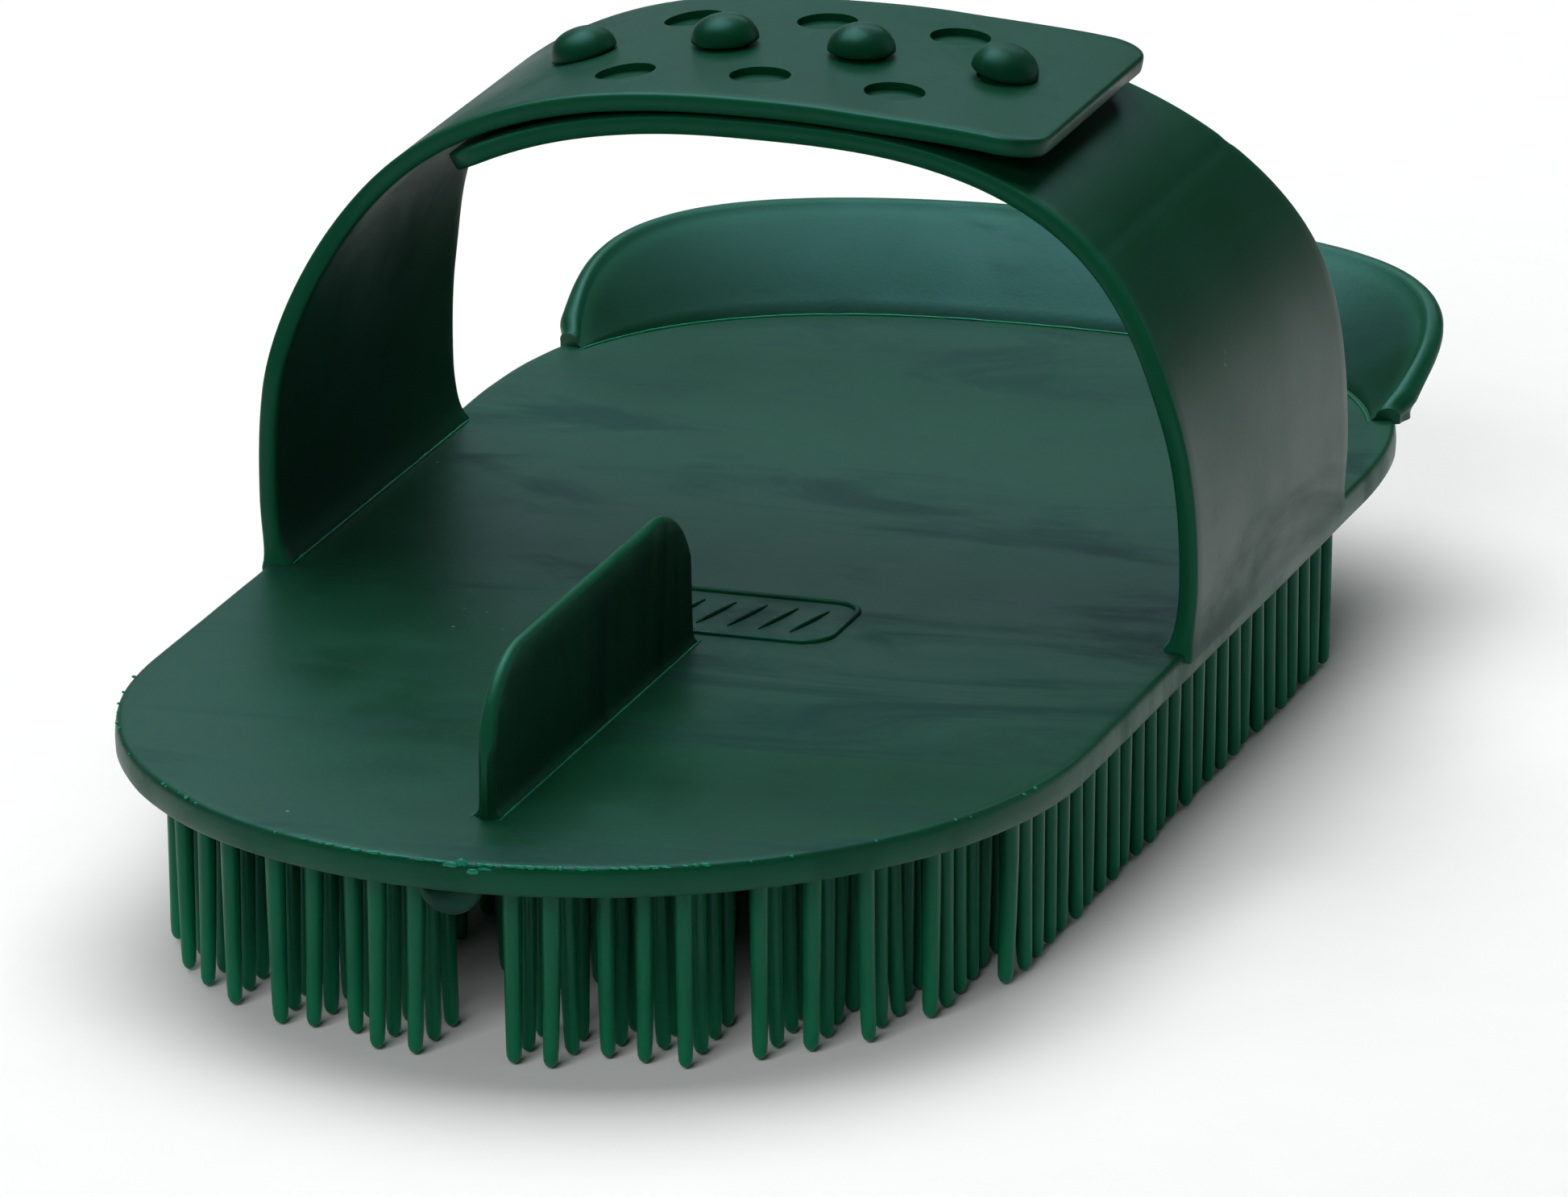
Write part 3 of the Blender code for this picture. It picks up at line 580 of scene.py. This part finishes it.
def buildFin():
    rings = []
    stations = []
    for step in range(15):
        stations.append(finLow.y + 10.0 * mm * (step / 14) ** 1.9)
    for step in range(1, 20):
        stations.append(finLow.y + 10.0 * mm + (finHigh.y - finLow.y - 19.0 * mm) * step / 19)
    for step in range(1, 15):
        stations.append(finHigh.y - 9.0 * mm * (1.0 - step / 14) ** 1.9)
    for y in stations:
        full = finTopAt(y)
        ends = min(y - finLow.y, finHigh.y - y)
        pinch = 0.35 + 0.65 * smoothStep(0.0, 0.8 * mm, ends)
        ring = []
        levels = [-0.6, 0.0, 0.25, 0.6, 1.2, 3.0, 6.0, 9.0, 12.0]
        side = []
        for level in levels:
            z = min(level * mm, full - finShape["crest"] * mm * pinch)
            flare = finShape["flare"] * math.exp(-max(level, 0.0) / 0.35)
            part = min(max(level, 0.0) / 14.0, 1.0)
            wide = (finShape["neck"] + (finShape["top"] - finShape["neck"]) * part) / 2 + flare
            side.append((wide * mm * pinch, z))
        crest = []
        for step in range(1, 6):
            angle = math.pi / 2 * step / 6
            crest.append((finShape["top"] / 2 * mm * pinch * math.cos(angle),
                          full - finShape["crest"] * mm * pinch * (1.0 - math.sin(angle))))
        right = side + crest
        left = [(-x, z) for x, z in right[::-1]]
        sway = noise.noise(Vector((0.0, y * 40.0, 2.0))) * 0.12 * mm
        for x, z in right + [(0.0, full)] + left:
            ring.append(Vector((x + sway * z / (14 * mm), y, plateTop + z)))
        rings.append(ring)
    fin = sweptRings("thumbFin", rings, plateGreen)
    sharpEdges(fin, 60)

    # painted glow: lighter green along the fin's crest
    def crestGlow(spot):
        depth = plateTop + finTopAt(spot.y) - spot.z
        return 0.9 * (1.0 - smoothStep(0.3 * mm, 1.1 * mm, depth))

    markPaintedGlow(fin, crestGlow)
    return fin


thumbFin = buildFin()
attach(thumbFin, "brush_body")
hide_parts("thumb_fin")
print("fin ready")


# Guard

guardShape = {
    "baseRadius": halfWidth - 5.0 * mm, "height": 8.7 * mm, "lean": 9.8 * mm, "leanPower": 1.3,
    "thickness": 2.1 * mm, "widening": 1.1,
    "startDegrees": 27.0, "steps": 150, "setBack": 20.0 * mm, "endRun": 35.0 * mm, "endPower": 2.6,
}


def guardScale(angle):
    # share of the guard's full height at an angle, where it climbs along its end ramps
    scale = 0.1
    for _turn in range(12):
        reach = guardShape["baseRadius"] + guardShape["lean"] * scale ** guardShape["leanPower"]
        middle = plateMidY + endCentre
        _x, y = squaredOff(reach * math.cos(angle), middle + reach * math.sin(angle))
        part = min(max((y - middle - guardShape["setBack"]) / guardShape["endRun"], 0.0), 1.0)
        wanted = 1.0 - (1.0 - part) ** guardShape["endPower"]
        scale = max(0.5 * scale + 0.5 * wanted, 0.04)
    return scale


def guardSection(scale, pinch):
    # closed section of the guard as (radius, height above the plate)
    base = guardShape["baseRadius"]
    inner = []
    outer = []
    steps = 14
    for step in range(steps + 1):
        part = step / steps * scale
        lean = guardShape["lean"] * part ** guardShape["leanPower"]
        height = guardShape["height"] * part
        cove = 1.1 * mm * math.exp(-height / (1.1 * mm))
        inner.append((base + lean - cove, height - (0.5 * mm if step == 0 else 0.0)))
        wide = guardShape["thickness"] * (1.0 - 0.18 * part) * pinch
        wide += 0.6 * mm * math.exp(-height / (2.2 * mm))
        outer.append((base + lean + wide, height - 0.9 * mm * part - (0.5 * mm if step == 0 else 0.0)))
    tipIn = Vector(inner[-1])
    tipOut = Vector(outer[-1])
    lip = []
    middle = (tipIn + tipOut) / 2
    across = (tipOut - tipIn) / 2
    rise = Vector((-across.y, across.x))
    if rise.y < 0:
        rise = -rise
    for step in range(1, 7):
        angle = math.pi * step / 7
        spot = middle - across * math.cos(angle) + rise * math.sin(angle) * 0.8
        lip.append((spot.x, spot.y))
    return inner + lip + outer[::-1]


def buildGuard():
    rings = []
    start = guardShape["startDegrees"]
    span = 180.0 - 2 * start
    for step in range(guardShape["steps"] + 1):
        part = step / guardShape["steps"]
        ease = 0.5 - 0.5 * math.cos(math.pi * part)
        part = 0.5 * part + 0.5 * ease
        degrees = start + span * part
        fromEnd = min(degrees - start, start + span - degrees)
        pinch = 0.45 + 0.55 * smoothStep(0.0, 2.5, fromEnd)
        angle = math.radians(degrees)
        scale = guardScale(angle)
        ring = []
        for radius, height in guardSection(scale, pinch):
            waver = noise.noise(Vector((degrees * 0.06, height * 60.0, 1.0))) * 0.25 * mm * height / (10 * mm)
            reach = radius + waver
            x, y = squaredOff(reach * math.cos(angle), plateMidY + endCentre + reach * math.sin(angle))
            ring.append(Vector((x * guardShape["widening"], y, plateTop + height)))
        rings.append(ring)
    guard = sweptRings("endGuard", rings, plateGreen)
    sharpEdges(guard, 60)

    # painted glow: lighter green along the guard's lip
    def lipGlow(spot):
        angle = math.atan2(spot.y - plateMidY - endCentre, spot.x / guardShape["widening"])
        lip = guardShape["height"] * guardScale(angle)
        return 0.9 * (1.0 - smoothStep(0.3 * mm, 1.6 * mm, lip - (spot.z - plateTop)))

    markPaintedGlow(guard, lipGlow)
    return guard


endGuard = buildGuard()
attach(endGuard, "brush_body")
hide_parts("end_guard")
print("guard ready")


# Straps and studs

strapShape = {
    "thickness": 1.9 * mm, "baseWidth": 50.0 * mm, "crownWidth": 37.0 * mm, "bulge": 7.0 * mm,
    "halfSpan": 46.15 * mm, "rise": 38.2 * mm, "lowerSquareness": (2.6, 2.4), "upperSquareness": (2.6, 2.6),
    "gap": 0.3 * mm, "overlap": 30.0 * mm, "corner": 4.5 * mm, "footInset": 0.9 * mm,
    "footFlare": 0.55 * mm, "endLift": 3.4 * mm, "liftStart": 10.0 * mm,
    "rightNarrowing": (0.50, 1.0), "leftNarrowing": (0.38, 0.82),
    "stations": 190, "across": 30, "edge": 0.55 * mm, "creaseHeight": 36.0 * mm,
}
studShape = {
    "first": -21.2 * mm, "pitch": 13.6 * mm, "count": 4, "neck": 2.25 * mm, "head": 3.35 * mm,
    "dome": 2.75 * mm, "holeRadius": 2.6 * mm, "markRadius": 3.0 * mm, "markDepth": 0.75 * mm,
    "markRow": 10.0 * mm, "seatRise": 0.62 * mm, "headLip": 0.18 * mm,
}


def endLift(x):
    # extra height of the upper strap, whose free end stands off the lower one
    part = max(x - strapShape["liftStart"], 0.0) / (strapShape["overlap"] - strapShape["liftStart"])
    return strapShape["endLift"] * part * part


def archLine(rise, squareness, count, lifted=False):
    # inner line from the plate over the crown to the free end, right to left, as (x, height)
    places = []
    for step in range(8):
        part = step / 8
        tuck = strapShape["footInset"] * (1.0 - part) ** 2
        footRise = -0.5 * mm + (strapShape["bulge"] + 0.5 * mm) * part
        places.append(Vector((strapShape["halfSpan"] - tuck, footRise)))
    fine = 400
    for step in range(fine * 2):
        angle = math.pi / 2 * step / fine
        power = 2 / squareness[0 if step < fine else 1]
        x = strapShape["halfSpan"] * math.copysign(abs(math.cos(angle)) ** power, math.cos(angle))
        z = strapShape["bulge"] + rise * abs(math.sin(angle)) ** power
        if lifted:
            z += endLift(-x)
        if x < -strapShape["overlap"]:
            break
        places.append(Vector((x, z)))
    lengths = [0.0]
    for first, second in zip(places, places[1:]):
        lengths.append(lengths[-1] + (second - first).length)
    total = lengths[-1]
    wanted = []
    for step in range(count):
        wanted.append(total * step / count)
    tail = strapShape["corner"]
    wanted = [value for value in wanted if value < total - tail]
    for step in range(22):
        wanted.append(total - tail * (1.0 - (step / 21)) ** 2)
    line = []
    index = 0
    for value in wanted:
        while index < len(places) - 2 and lengths[index + 1] < value:
            index += 1
        span = lengths[index + 1] - lengths[index]
        part = min(max((value - lengths[index]) / span, 0.0), 1.0)
        line.append(places[index].lerp(places[index + 1], part))
    return line, wanted, total


def strapHalfWidth(height, side):
    # wide at the plate, narrow at the crown; the left strap tapers sooner
    top = strapShape["bulge"] + strapShape["rise"]
    low, high = strapShape["rightNarrowing"] if side > 0 else strapShape["leftNarrowing"]
    part = min(max((height / top - low) / (high - low), 0.0), 1.0)
    ease = part * part * (3.0 - 2.0 * part)
    base = strapShape["baseWidth"] / 2
    return base + (strapShape["crownWidth"] / 2 - base) * ease


def lineNormals(line):
    normals = []
    for index in range(len(line)):
        before = line[max(index - 1, 0)]
        after = line[min(index + 1, len(line) - 1)]
        way = after - before
        if way.length < 1e-7:
            normals.append(normals[-1].copy())
            continue
        way.normalize()
        normals.append(Vector((way.y, -way.x)))
    return normals


def strapRings(rise, squareness, side, foot):
    line, along, total = archLine(rise, squareness, strapShape["stations"], side < 0)
    normals = lineNormals(line)
    rings = []
    for spot, normal, travelled in zip(line, normals, along):
        left = total - travelled
        halfWide = strapHalfWidth(spot.y, side)
        corner = strapShape["corner"]
        if left < corner:
            halfWide -= corner - math.sqrt(max(corner * corner - (corner - left) ** 2, 0.0))
        halfThick = strapShape["thickness"] / 2
        edge = strapShape["edge"]
        thin = min(left / edge, 1.0)
        thickNow = halfThick * (0.45 + 0.55 * math.sqrt(max(1.0 - (1.0 - thin) ** 2, 0.0)))
        flare = foot * math.exp(-max(travelled - 0.5 * mm, 0.0) / (1.1 * mm))
        thickNow += flare
        halfWide += flare * 1.2
        crease = 0.0
        if side > 0:
            crease = 0.11 * mm * math.exp(-((spot.y - strapShape["creaseHeight"]) / (0.35 * mm)) ** 2)
        ring = []
        for across, out in roundedSection(halfWide, thickNow, edge, strapShape["across"], 4):
            ripple = noise.noise(Vector((travelled * 60.0, across * 45.0, side * 3.0))) * 0.10 * mm
            lift = out + halfThick + ripple * smoothStep(2 * mm, 9 * mm, travelled)
            if out > 0:
                lift -= crease
            place = spot + normal * lift
            ring.append(Vector((side * place.x, strapMidY + across, plateTop + place.y)))
        rings.append(ring)
    return rings


def lineSpot(rise, squareness, x, out, lifted=False):
    # point and outward normal over a strap's inner line at x on the right-to-left arch
    line, _along, _total = archLine(rise, squareness, 400, lifted)
    normals = lineNormals(line)
    for index in range(len(line) - 1):
        if line[index].x >= x >= line[index + 1].x:
            part = (line[index].x - x) / max(line[index].x - line[index + 1].x, 1e-9)
            normal = normals[index].lerp(normals[index + 1], part).normalized()
            return line[index].lerp(line[index + 1], part) + normal * out, normal
    return line[-1], normals[-1]


def crownFrame(rise, squareness, x, y, out, side=1):
    spot, normal = lineSpot(rise, squareness, side * x, out, side < 0)
    normal = Vector((side * normal.x, normal.y))
    place = Matrix.Translation((side * spot.x, strapMidY + y, plateTop + spot.y))
    return place @ Matrix.Rotation(math.atan2(normal.x, normal.y), 4, "Y")


def drum(name, radius, low, high, matrix, sides):
    work = bmesh.new()
    spot = Matrix.Translation((0.0, 0.0, (low + high) / 2))
    bmesh.ops.create_cone(work, cap_ends=True, segments=sides, radius1=radius, radius2=radius,
                          depth=high - low, matrix=matrix @ spot)
    mesh = bpy.data.meshes.new(name)
    work.to_mesh(mesh)
    work.free()
    tool = bpy.data.objects.new(name, mesh)
    bpy.context.scene.collection.objects.link(tool)
    return tool


def carve(piece, tools):
    for tool in tools:
        modifier = piece.modifiers.new("carve", "BOOLEAN")
        modifier.operation = "DIFFERENCE"
        modifier.solver = "EXACT"
        modifier.object = tool
    bakeModifiers(piece)
    for tool in tools:
        bpy.data.objects.remove(tool, do_unlink=True)


def markStrapEdgeGlow(piece, side):
    # painted glow along the two long edges of a strap

    def amountAt(spot):
        inset = strapHalfWidth(spot.z - plateTop, side) - abs(spot.y - strapMidY)
        return 0.75 * (1.0 - smoothStep(0.1 * mm, 0.7 * mm, inset))

    markPaintedGlow(piece, amountAt)


upperRise = strapShape["rise"] + strapShape["thickness"] + strapShape["gap"]
studSpots = [studShape["first"] + studShape["pitch"] * index for index in range(studShape["count"])]
markSpots = [((a + b) / 2, side * studShape["markRow"])
             for a, b in zip(studSpots, studSpots[1:]) for side in (-1, 1)]

rightRings = strapRings(strapShape["rise"], strapShape["lowerSquareness"], 1, strapShape["footFlare"])
strapRight = sweptRings("strapRight", rightRings, strapGreen)
sharpEdges(strapRight, 50)
markStrapEdgeGlow(strapRight, 1)
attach(strapRight, "brush_body")
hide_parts("strap_right")

leftRings = strapRings(upperRise, strapShape["upperSquareness"], -1, strapShape["footFlare"])
strapLeft = sweptRings("strapLeft", leftRings, strapGreen)
tools = []
for index, x in enumerate(studSpots):
    spot = crownFrame(strapShape["rise"], strapShape["lowerSquareness"], x, 0.0, strapShape["thickness"])
    tools.append(drum("stud hole %d" % index, studShape["holeRadius"], -1.0 * mm, 8.0 * mm, spot, 36))
for index, (x, y) in enumerate(markSpots):
    spot = crownFrame(upperRise, strapShape["upperSquareness"], x, y, strapShape["thickness"], -1)
    depth = studShape["markDepth"]
    tools.append(drum("mark %d" % index, studShape["markRadius"], -depth, 3.0 * mm, spot, 48))
carve(strapLeft, tools)
sharpEdges(strapLeft, 40)
markStrapEdgeGlow(strapLeft, -1)
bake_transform(strapLeft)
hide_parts("strap_left_root", "strap_left_flap")
print("straps ready")


def buildStud(index, x):
    # neck and dome turned as one profile, with a slightly uneven head
    seatRise = studShape["seatRise"] + endLift(x)
    base = strapShape["thickness"] + seatRise
    neck = studShape["neck"]
    lip = studShape["headLip"]
    profile = [(0.0, 0.0), (neck * 1.1, 0.0), (neck, 0.5 * mm), (neck, base)]
    profile += [(studShape["head"] * 0.93, base), (studShape["head"], base + lip)]
    for step in range(1, 15):
        angle = math.pi / 2 * step / 15
        flat = math.cos(angle) ** 0.86
        domeRise = (studShape["dome"] - lip) * math.sin(angle)
        profile.append((studShape["head"] * flat, base + lip + domeRise))
    place = crownFrame(strapShape["rise"], strapShape["lowerSquareness"], x, 0.0, strapShape["thickness"])
    sides = 48
    vertices = []
    faces = []
    for radius, height in profile[1:]:
        for step in range(sides):
            angle = 2 * math.pi * step / sides
            spot = Vector((radius * math.cos(angle), radius * math.sin(angle), height))
            bumpy = noise.noise(spot * 500.0 + Vector((index * 7.0, 0.0, 0.0))) * 0.07 * mm
            grow = 1.0 + bumpy / max(radius, 1.0 * mm) if height > base else 1.0
            vertices.append(place @ Vector((spot.x * grow, spot.y * grow, height)))
    rows = len(profile) - 1
    for row in range(rows - 1):
        for step in range(sides):
            a = row * sides + step
            b = row * sides + (step + 1) % sides
            faces.append((a, b, b + sides, a + sides))
    top = len(vertices)
    vertices.append(place @ Vector((0.0, 0.0, base + studShape["dome"])))
    bottom = len(vertices)
    vertices.append(place @ Vector((0.0, 0.0, 0.0)))
    for step in range(sides):
        last = (rows - 1) * sides
        faces.append((last + step, last + (step + 1) % sides, top))
        faces.append(((step + 1) % sides, step, bottom))
    stud = newObject("stud%d" % (index + 1), vertices, faces, strapGreen)
    fixNormals(stud)
    sharpEdges(stud, 60)
    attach(stud, "brush_body")
    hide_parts("stud_%d" % (index + 1))


for index, x in enumerate(studSpots):
    buildStud(index, x)
print("studs ready")


# Emblem, seams and trimmed edges

emblemShape = {"line": 0.35 * mm, "corner": 3.0 * mm, "ribs": 7, "ribLength": 7.0 * mm, "ribSlant": 1.6 * mm}


def buildEmblem():
    halfX = (emblemHigh.x - emblemLow.x) / 2 - emblemShape["line"]
    halfY = (emblemHigh.y - emblemLow.y) / 2 - emblemShape["line"]
    middle = (emblemLow + emblemHigh) / 2
    corner = emblemShape["corner"]
    places = []
    for cx, cy, start in ((1, 1, 0), (-1, 1, 90), (-1, -1, 180), (1, -1, 270)):
        for step in range(9):
            angle = math.radians(start + 90 * step / 8)
            places.append(Vector((
                middle.x + cx * (halfX - corner) + corner * math.cos(angle),
                middle.y + cy * (halfY - corner) + corner * math.sin(angle),
                plateTop + 0.02 * mm,
            )))
    rings = []
    for index, place in enumerate(places):
        before = places[index - 1]
        after = places[(index + 1) % len(places)]
        way = (after - before).normalized()
        side = Vector((way.y, -way.x, 0.0))
        ring = []
        for step in range(10):
            angle = 2 * math.pi * step / 10
            ring.append(place + side * math.cos(angle) * emblemShape["line"]
                        + Vector((0, 0, 1)) * math.sin(angle) * emblemShape["line"] * 0.9)
        rings.append(ring)
    rings.append(rings[0])
    count = 10
    vertices = [v for ring in rings[:-1] for v in ring]
    faces = []
    total = len(places)
    for row in range(total):
        for step in range(count):
            a = row * count + step
            b = row * count + (step + 1) % count
            c = ((row + 1) % total) * count + (step + 1) % count
            d = ((row + 1) % total) * count + step
            faces.append((a, b, c, d))
    border = newObject("emblemBorder", vertices, faces, plateGreen)
    fixNormals(border)
    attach(border, "brush_body")
    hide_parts("emblem_border")
    for index in range(emblemShape["ribs"]):
        x = middle.x - halfX + 3.6 * mm + (2 * halfX - 7.2 * mm) * index / (emblemShape["ribs"] - 1)
        line = []
        for step in range(9):
            part = step / 8 - 0.5
            y = middle.y + emblemShape["ribLength"] * part
            line.append(Vector((x + emblemShape["ribSlant"] * part, y, plateTop + 0.02 * mm)))
        rib = tubeAlong("emblemRib%d" % (index + 1), line, 0.30 * mm, plateGreen, 8)
        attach(rib, "brush_body")


buildEmblem()

seamShape = {"radius": 0.16 * mm, "waver": 0.5}


# seam bead, coloured in the bright green of the painted highlight
def addSeam(name, places, radius=None):
    seam = tubeAlong(name, places, radius or seamShape["radius"], flashHighlightGreen, 6, seamShape["waver"])
    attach(seam, "brush_body")


for side in (-1, 1):
    word = "Right" if side > 0 else "Left"
    innerX = strapShape["halfSpan"] - strapShape["footInset"] - 0.62 * mm
    strapFoot = []
    finFoot = []
    for step in range(61):
        alongStrap = strapMidY - 24.6 * mm + 49.2 * mm * step / 60
        alongFin = finLow.y + (finHigh.y - finLow.y) * step / 60
        strapFoot.append(Vector((side * innerX, alongStrap, plateTop + 0.04 * mm)))
        finFoot.append(Vector((side * 1.45 * mm, alongFin, plateTop + 0.02 * mm)))
    addSeam("strapSeam" + word, strapFoot)
    addSeam("finSeam" + word, finFoot, 0.12 * mm)
guardLine = []
for step in range(121):
    angle = math.radians(25.5 + 129.0 * step / 120)
    reach = guardShape["baseRadius"] - 1.35 * mm
    x, y = squaredOff(reach * math.cos(angle), plateMidY + endCentre + reach * math.sin(angle))
    guardLine.append(Vector((x * guardShape["widening"], y, plateTop + 0.02 * mm)))
addSeam("guardSeam", guardLine, 0.14 * mm)

nickShape = {"gateDegrees": -87.4, "flashLumps": 44, "flashBefore": 20.0, "flashSpan": 50.0, "specks": 26}


def buildFlash():
    # torn gate and thin trimmed flash on the near rim, and crumbs round the edge, in the bright green of a
    # painted highlight
    vertices = []
    faces = []

    def lump(centre, size, seed):
        work = bmesh.new()
        bmesh.ops.create_icosphere(work, subdivisions=2, radius=1.0)
        offset = len(vertices)
        for vertex in work.verts:
            swell = 1.0 + 0.45 * noise.noise(vertex.co * 1.7 + Vector((seed, 0.0, 0.0)))
            reach = Vector((vertex.co.x * size[0], vertex.co.y * size[1], vertex.co.z * size[2]))
            vertices.append(centre + reach * swell)
        for face in work.faces:
            faces.append(tuple(offset + vertex.index for vertex in face.verts))
        work.free()

    def rimPoint(angleDegrees, inset, drop):
        angle = math.radians(angleDegrees)
        radius = halfWidth - inset * mm
        y = plateMidY - endCentre + radius * math.sin(angle)
        return Vector((radius * math.cos(angle), y, plateTop - drop * mm))

    gate = nickShape["gateDegrees"]
    lump(rimPoint(gate, 0.45, 0.10), (0.55 * mm, 0.35 * mm, 0.42 * mm), 1.0)
    lump(rimPoint(gate - 1.2, 0.30, 0.30), (0.85 * mm, 0.30 * mm, 0.30 * mm), 2.0)
    lump(rimPoint(gate + 1.3, 0.25, 0.75), (0.80 * mm, 0.28 * mm, 0.28 * mm), 3.0)
    lump(rimPoint(gate + 2.6, 0.32, 0.45), (0.95 * mm, 0.22 * mm, 0.18 * mm), 4.0)
    lumps = nickShape["flashLumps"]
    for index in range(lumps):
        angle = gate - nickShape["flashBefore"] + nickShape["flashSpan"] * index / (lumps - 1)
        if abs(angle - gate) < 1.0 or dice.random() < 0.25:
            continue
        size = dice.uniform(0.08, 0.20) * mm
        lump(rimPoint(angle, 0.36, 0.10), (dice.uniform(0.3, 0.8) * mm, size, size), index * 1.3)
    for index in range(nickShape["specks"]):
        angle = dice.uniform(-175.0, -5.0)
        size = dice.uniform(0.07, 0.16) * mm
        spot = rimPoint(angle, dice.uniform(0.2, 0.5), dice.uniform(0.0, 0.3))
        lump(spot, (size * 1.6, size, size), 50.0 + index)
    flash = newObject("rimFlash", vertices, faces, flashHighlightGreen)
    fixNormals(flash)
    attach(flash, "brush_body")


buildFlash()
print("small details ready")


# Camera, floor and light

cameraView = {"azimuth": 19.38, "elevation": 18.07, "roll": -0.66, "distance": 1.35, "lens": 319.85,
              "target": (4.82 * mm, -8.48 * mm, 0.0)}


def aimCamera():
    data = bpy.data.cameras.new("studioCamera")
    data.sensor_width = 36.0
    data.lens = cameraView["lens"]
    data.clip_start = 0.05
    data.clip_end = 50.0
    camera = bpy.data.objects.new("studioCamera", data)
    bpy.context.scene.collection.objects.link(camera)
    azimuth = math.radians(cameraView["azimuth"])
    elevation = math.radians(cameraView["elevation"])
    level = math.cos(elevation)
    back = Vector((math.sin(azimuth) * level, -math.cos(azimuth) * level, math.sin(elevation)))
    right = (-back).cross(Vector((0, 0, 1))).normalized()
    up = right.cross(-back)
    roll = math.radians(cameraView["roll"])
    rightTurned = right * math.cos(roll) + up * math.sin(roll)
    upTurned = up * math.cos(roll) - right * math.sin(roll)
    aimX, aimY, aimZ = cameraView["target"]
    target = Vector((aimX, plateMidY + aimY, plateTop + aimZ))
    place = target + back * cameraView["distance"]
    matrix = Matrix((rightTurned, upTurned, back)).transposed().to_4x4()
    matrix.translation = place
    camera.matrix_world = matrix
    bpy.context.scene.camera = camera


aimCamera()

floorShape = {"reach": 4.0, "drop": 0.2 * mm, "darkTone": 0.885, "lightTone": 0.915, "grainScale": 900.0}
reach = floorShape["reach"]
corners = [(-reach, -reach, 0), (reach, -reach, 0), (reach, reach, 0), (-reach, reach, 0)]
floor = newObject("studioFloor", corners, [(0, 1, 2, 3)], smooth=False)
floor.location.z = cadLow[2] - floorShape["drop"]
paper = bpy.data.materials.new("paleFloor")
paper.use_nodes = True
paperTree = paper.node_tree
paperShader = paperTree.nodes["Principled BSDF"]
paperShader.inputs["Specular IOR Level"].default_value = 0.15
paperNoise = addNode(paperTree, "ShaderNodeTexNoise", (-700, 0))
paperNoise.inputs["Scale"].default_value = floorShape["grainScale"]
paperTone = addNode(paperTree, "ShaderNodeMix", (-400, 100), data_type="RGBA")
paperTone.inputs[6].default_value = (*[floorShape["darkTone"]] * 3, 1.0)
paperTone.inputs[7].default_value = (*[floorShape["lightTone"]] * 3, 1.0)
link(paperTree, paperNoise.outputs["Fac"], paperTone.inputs[0])
link(paperTree, paperTone.outputs[2], paperShader.inputs["Base Color"])
paperShader.inputs["Roughness"].default_value = 0.85
floor.data.materials.append(paper)


def addPanel(name, plan):
    data = bpy.data.lights.new(name, "AREA")
    data.shape = "RECTANGLE"
    data.size, data.size_y = plan["size"]
    data.energy = plan["power"]
    data.color = plan["colour"]
    lamp = bpy.data.objects.new(name, data)
    bpy.context.scene.collection.objects.link(lamp)
    lamp.location = plan["place"]
    way = Vector(plan["aim"]) - Vector(plan["place"])
    lamp.rotation_euler = way.to_track_quat("-Z", "Y").to_euler()
    lamp.visible_diffuse = plan["lights"] != "gloss"
    lamp.visible_glossy = plan["lights"] != "colour"
    return lamp


lightPlan = {
    "topSoftbox": {"place": (-0.12, 0.32, 0.95), "aim": (0.0, 0.0, 0.0), "size": (1.0, 1.0), "power": 11.5,
                   "colour": (1.0, 1.0, 1.0), "lights": "colour"},
    "frontSoftbox": {"place": (-0.03, -1.15, 0.72), "aim": (0.0, 0.0, 0.03), "size": (0.8, 0.5), "power": 9.0,
                     "colour": (1.0, 1.0, 1.0), "lights": "colour"},
    "backSheen": {"place": (-0.25, 1.15, 0.85), "aim": (0.0, 0.0, 0.05), "size": (1.0, 0.4), "power": 2.6,
                  "colour": (0.60, 0.95, 1.0), "lights": "gloss"},
    "topSheen": {"place": (-0.30, 0.15, 0.95), "aim": (0.0, 0.0, 0.05), "size": (0.8, 0.8), "power": 13.0,
                 "colour": (0.60, 0.95, 1.0), "lights": "gloss"},
    "lowBackSheen": {"place": (-0.65, 1.25, 0.22), "aim": (0.0, 0.0, 0.06), "size": (0.7, 0.35),
                     "power": 0.35, "colour": (0.60, 0.95, 1.0), "lights": "gloss"},
    "rightSheen": {"place": (0.95, 0.75, 0.35), "aim": (0.0, 0.0, 0.04), "size": (0.6, 0.8), "power": 1.0,
                   "colour": (0.60, 0.95, 1.0), "lights": "gloss"},
}
for name, plan in lightPlan.items():
    addPanel(name, plan)
world = bpy.data.worlds.new("studioAir")
bpy.context.scene.world = world
world.use_nodes = True
air = world.node_tree.nodes["Background"]
air.inputs["Color"].default_value = (0.9, 0.97, 1.0, 1.0)
air.inputs["Strength"].default_value = 0.06
bpy.context.scene.view_settings.view_transform = "Standard"
bpy.context.scene.view_settings.look = "None"
print("camera and light ready")
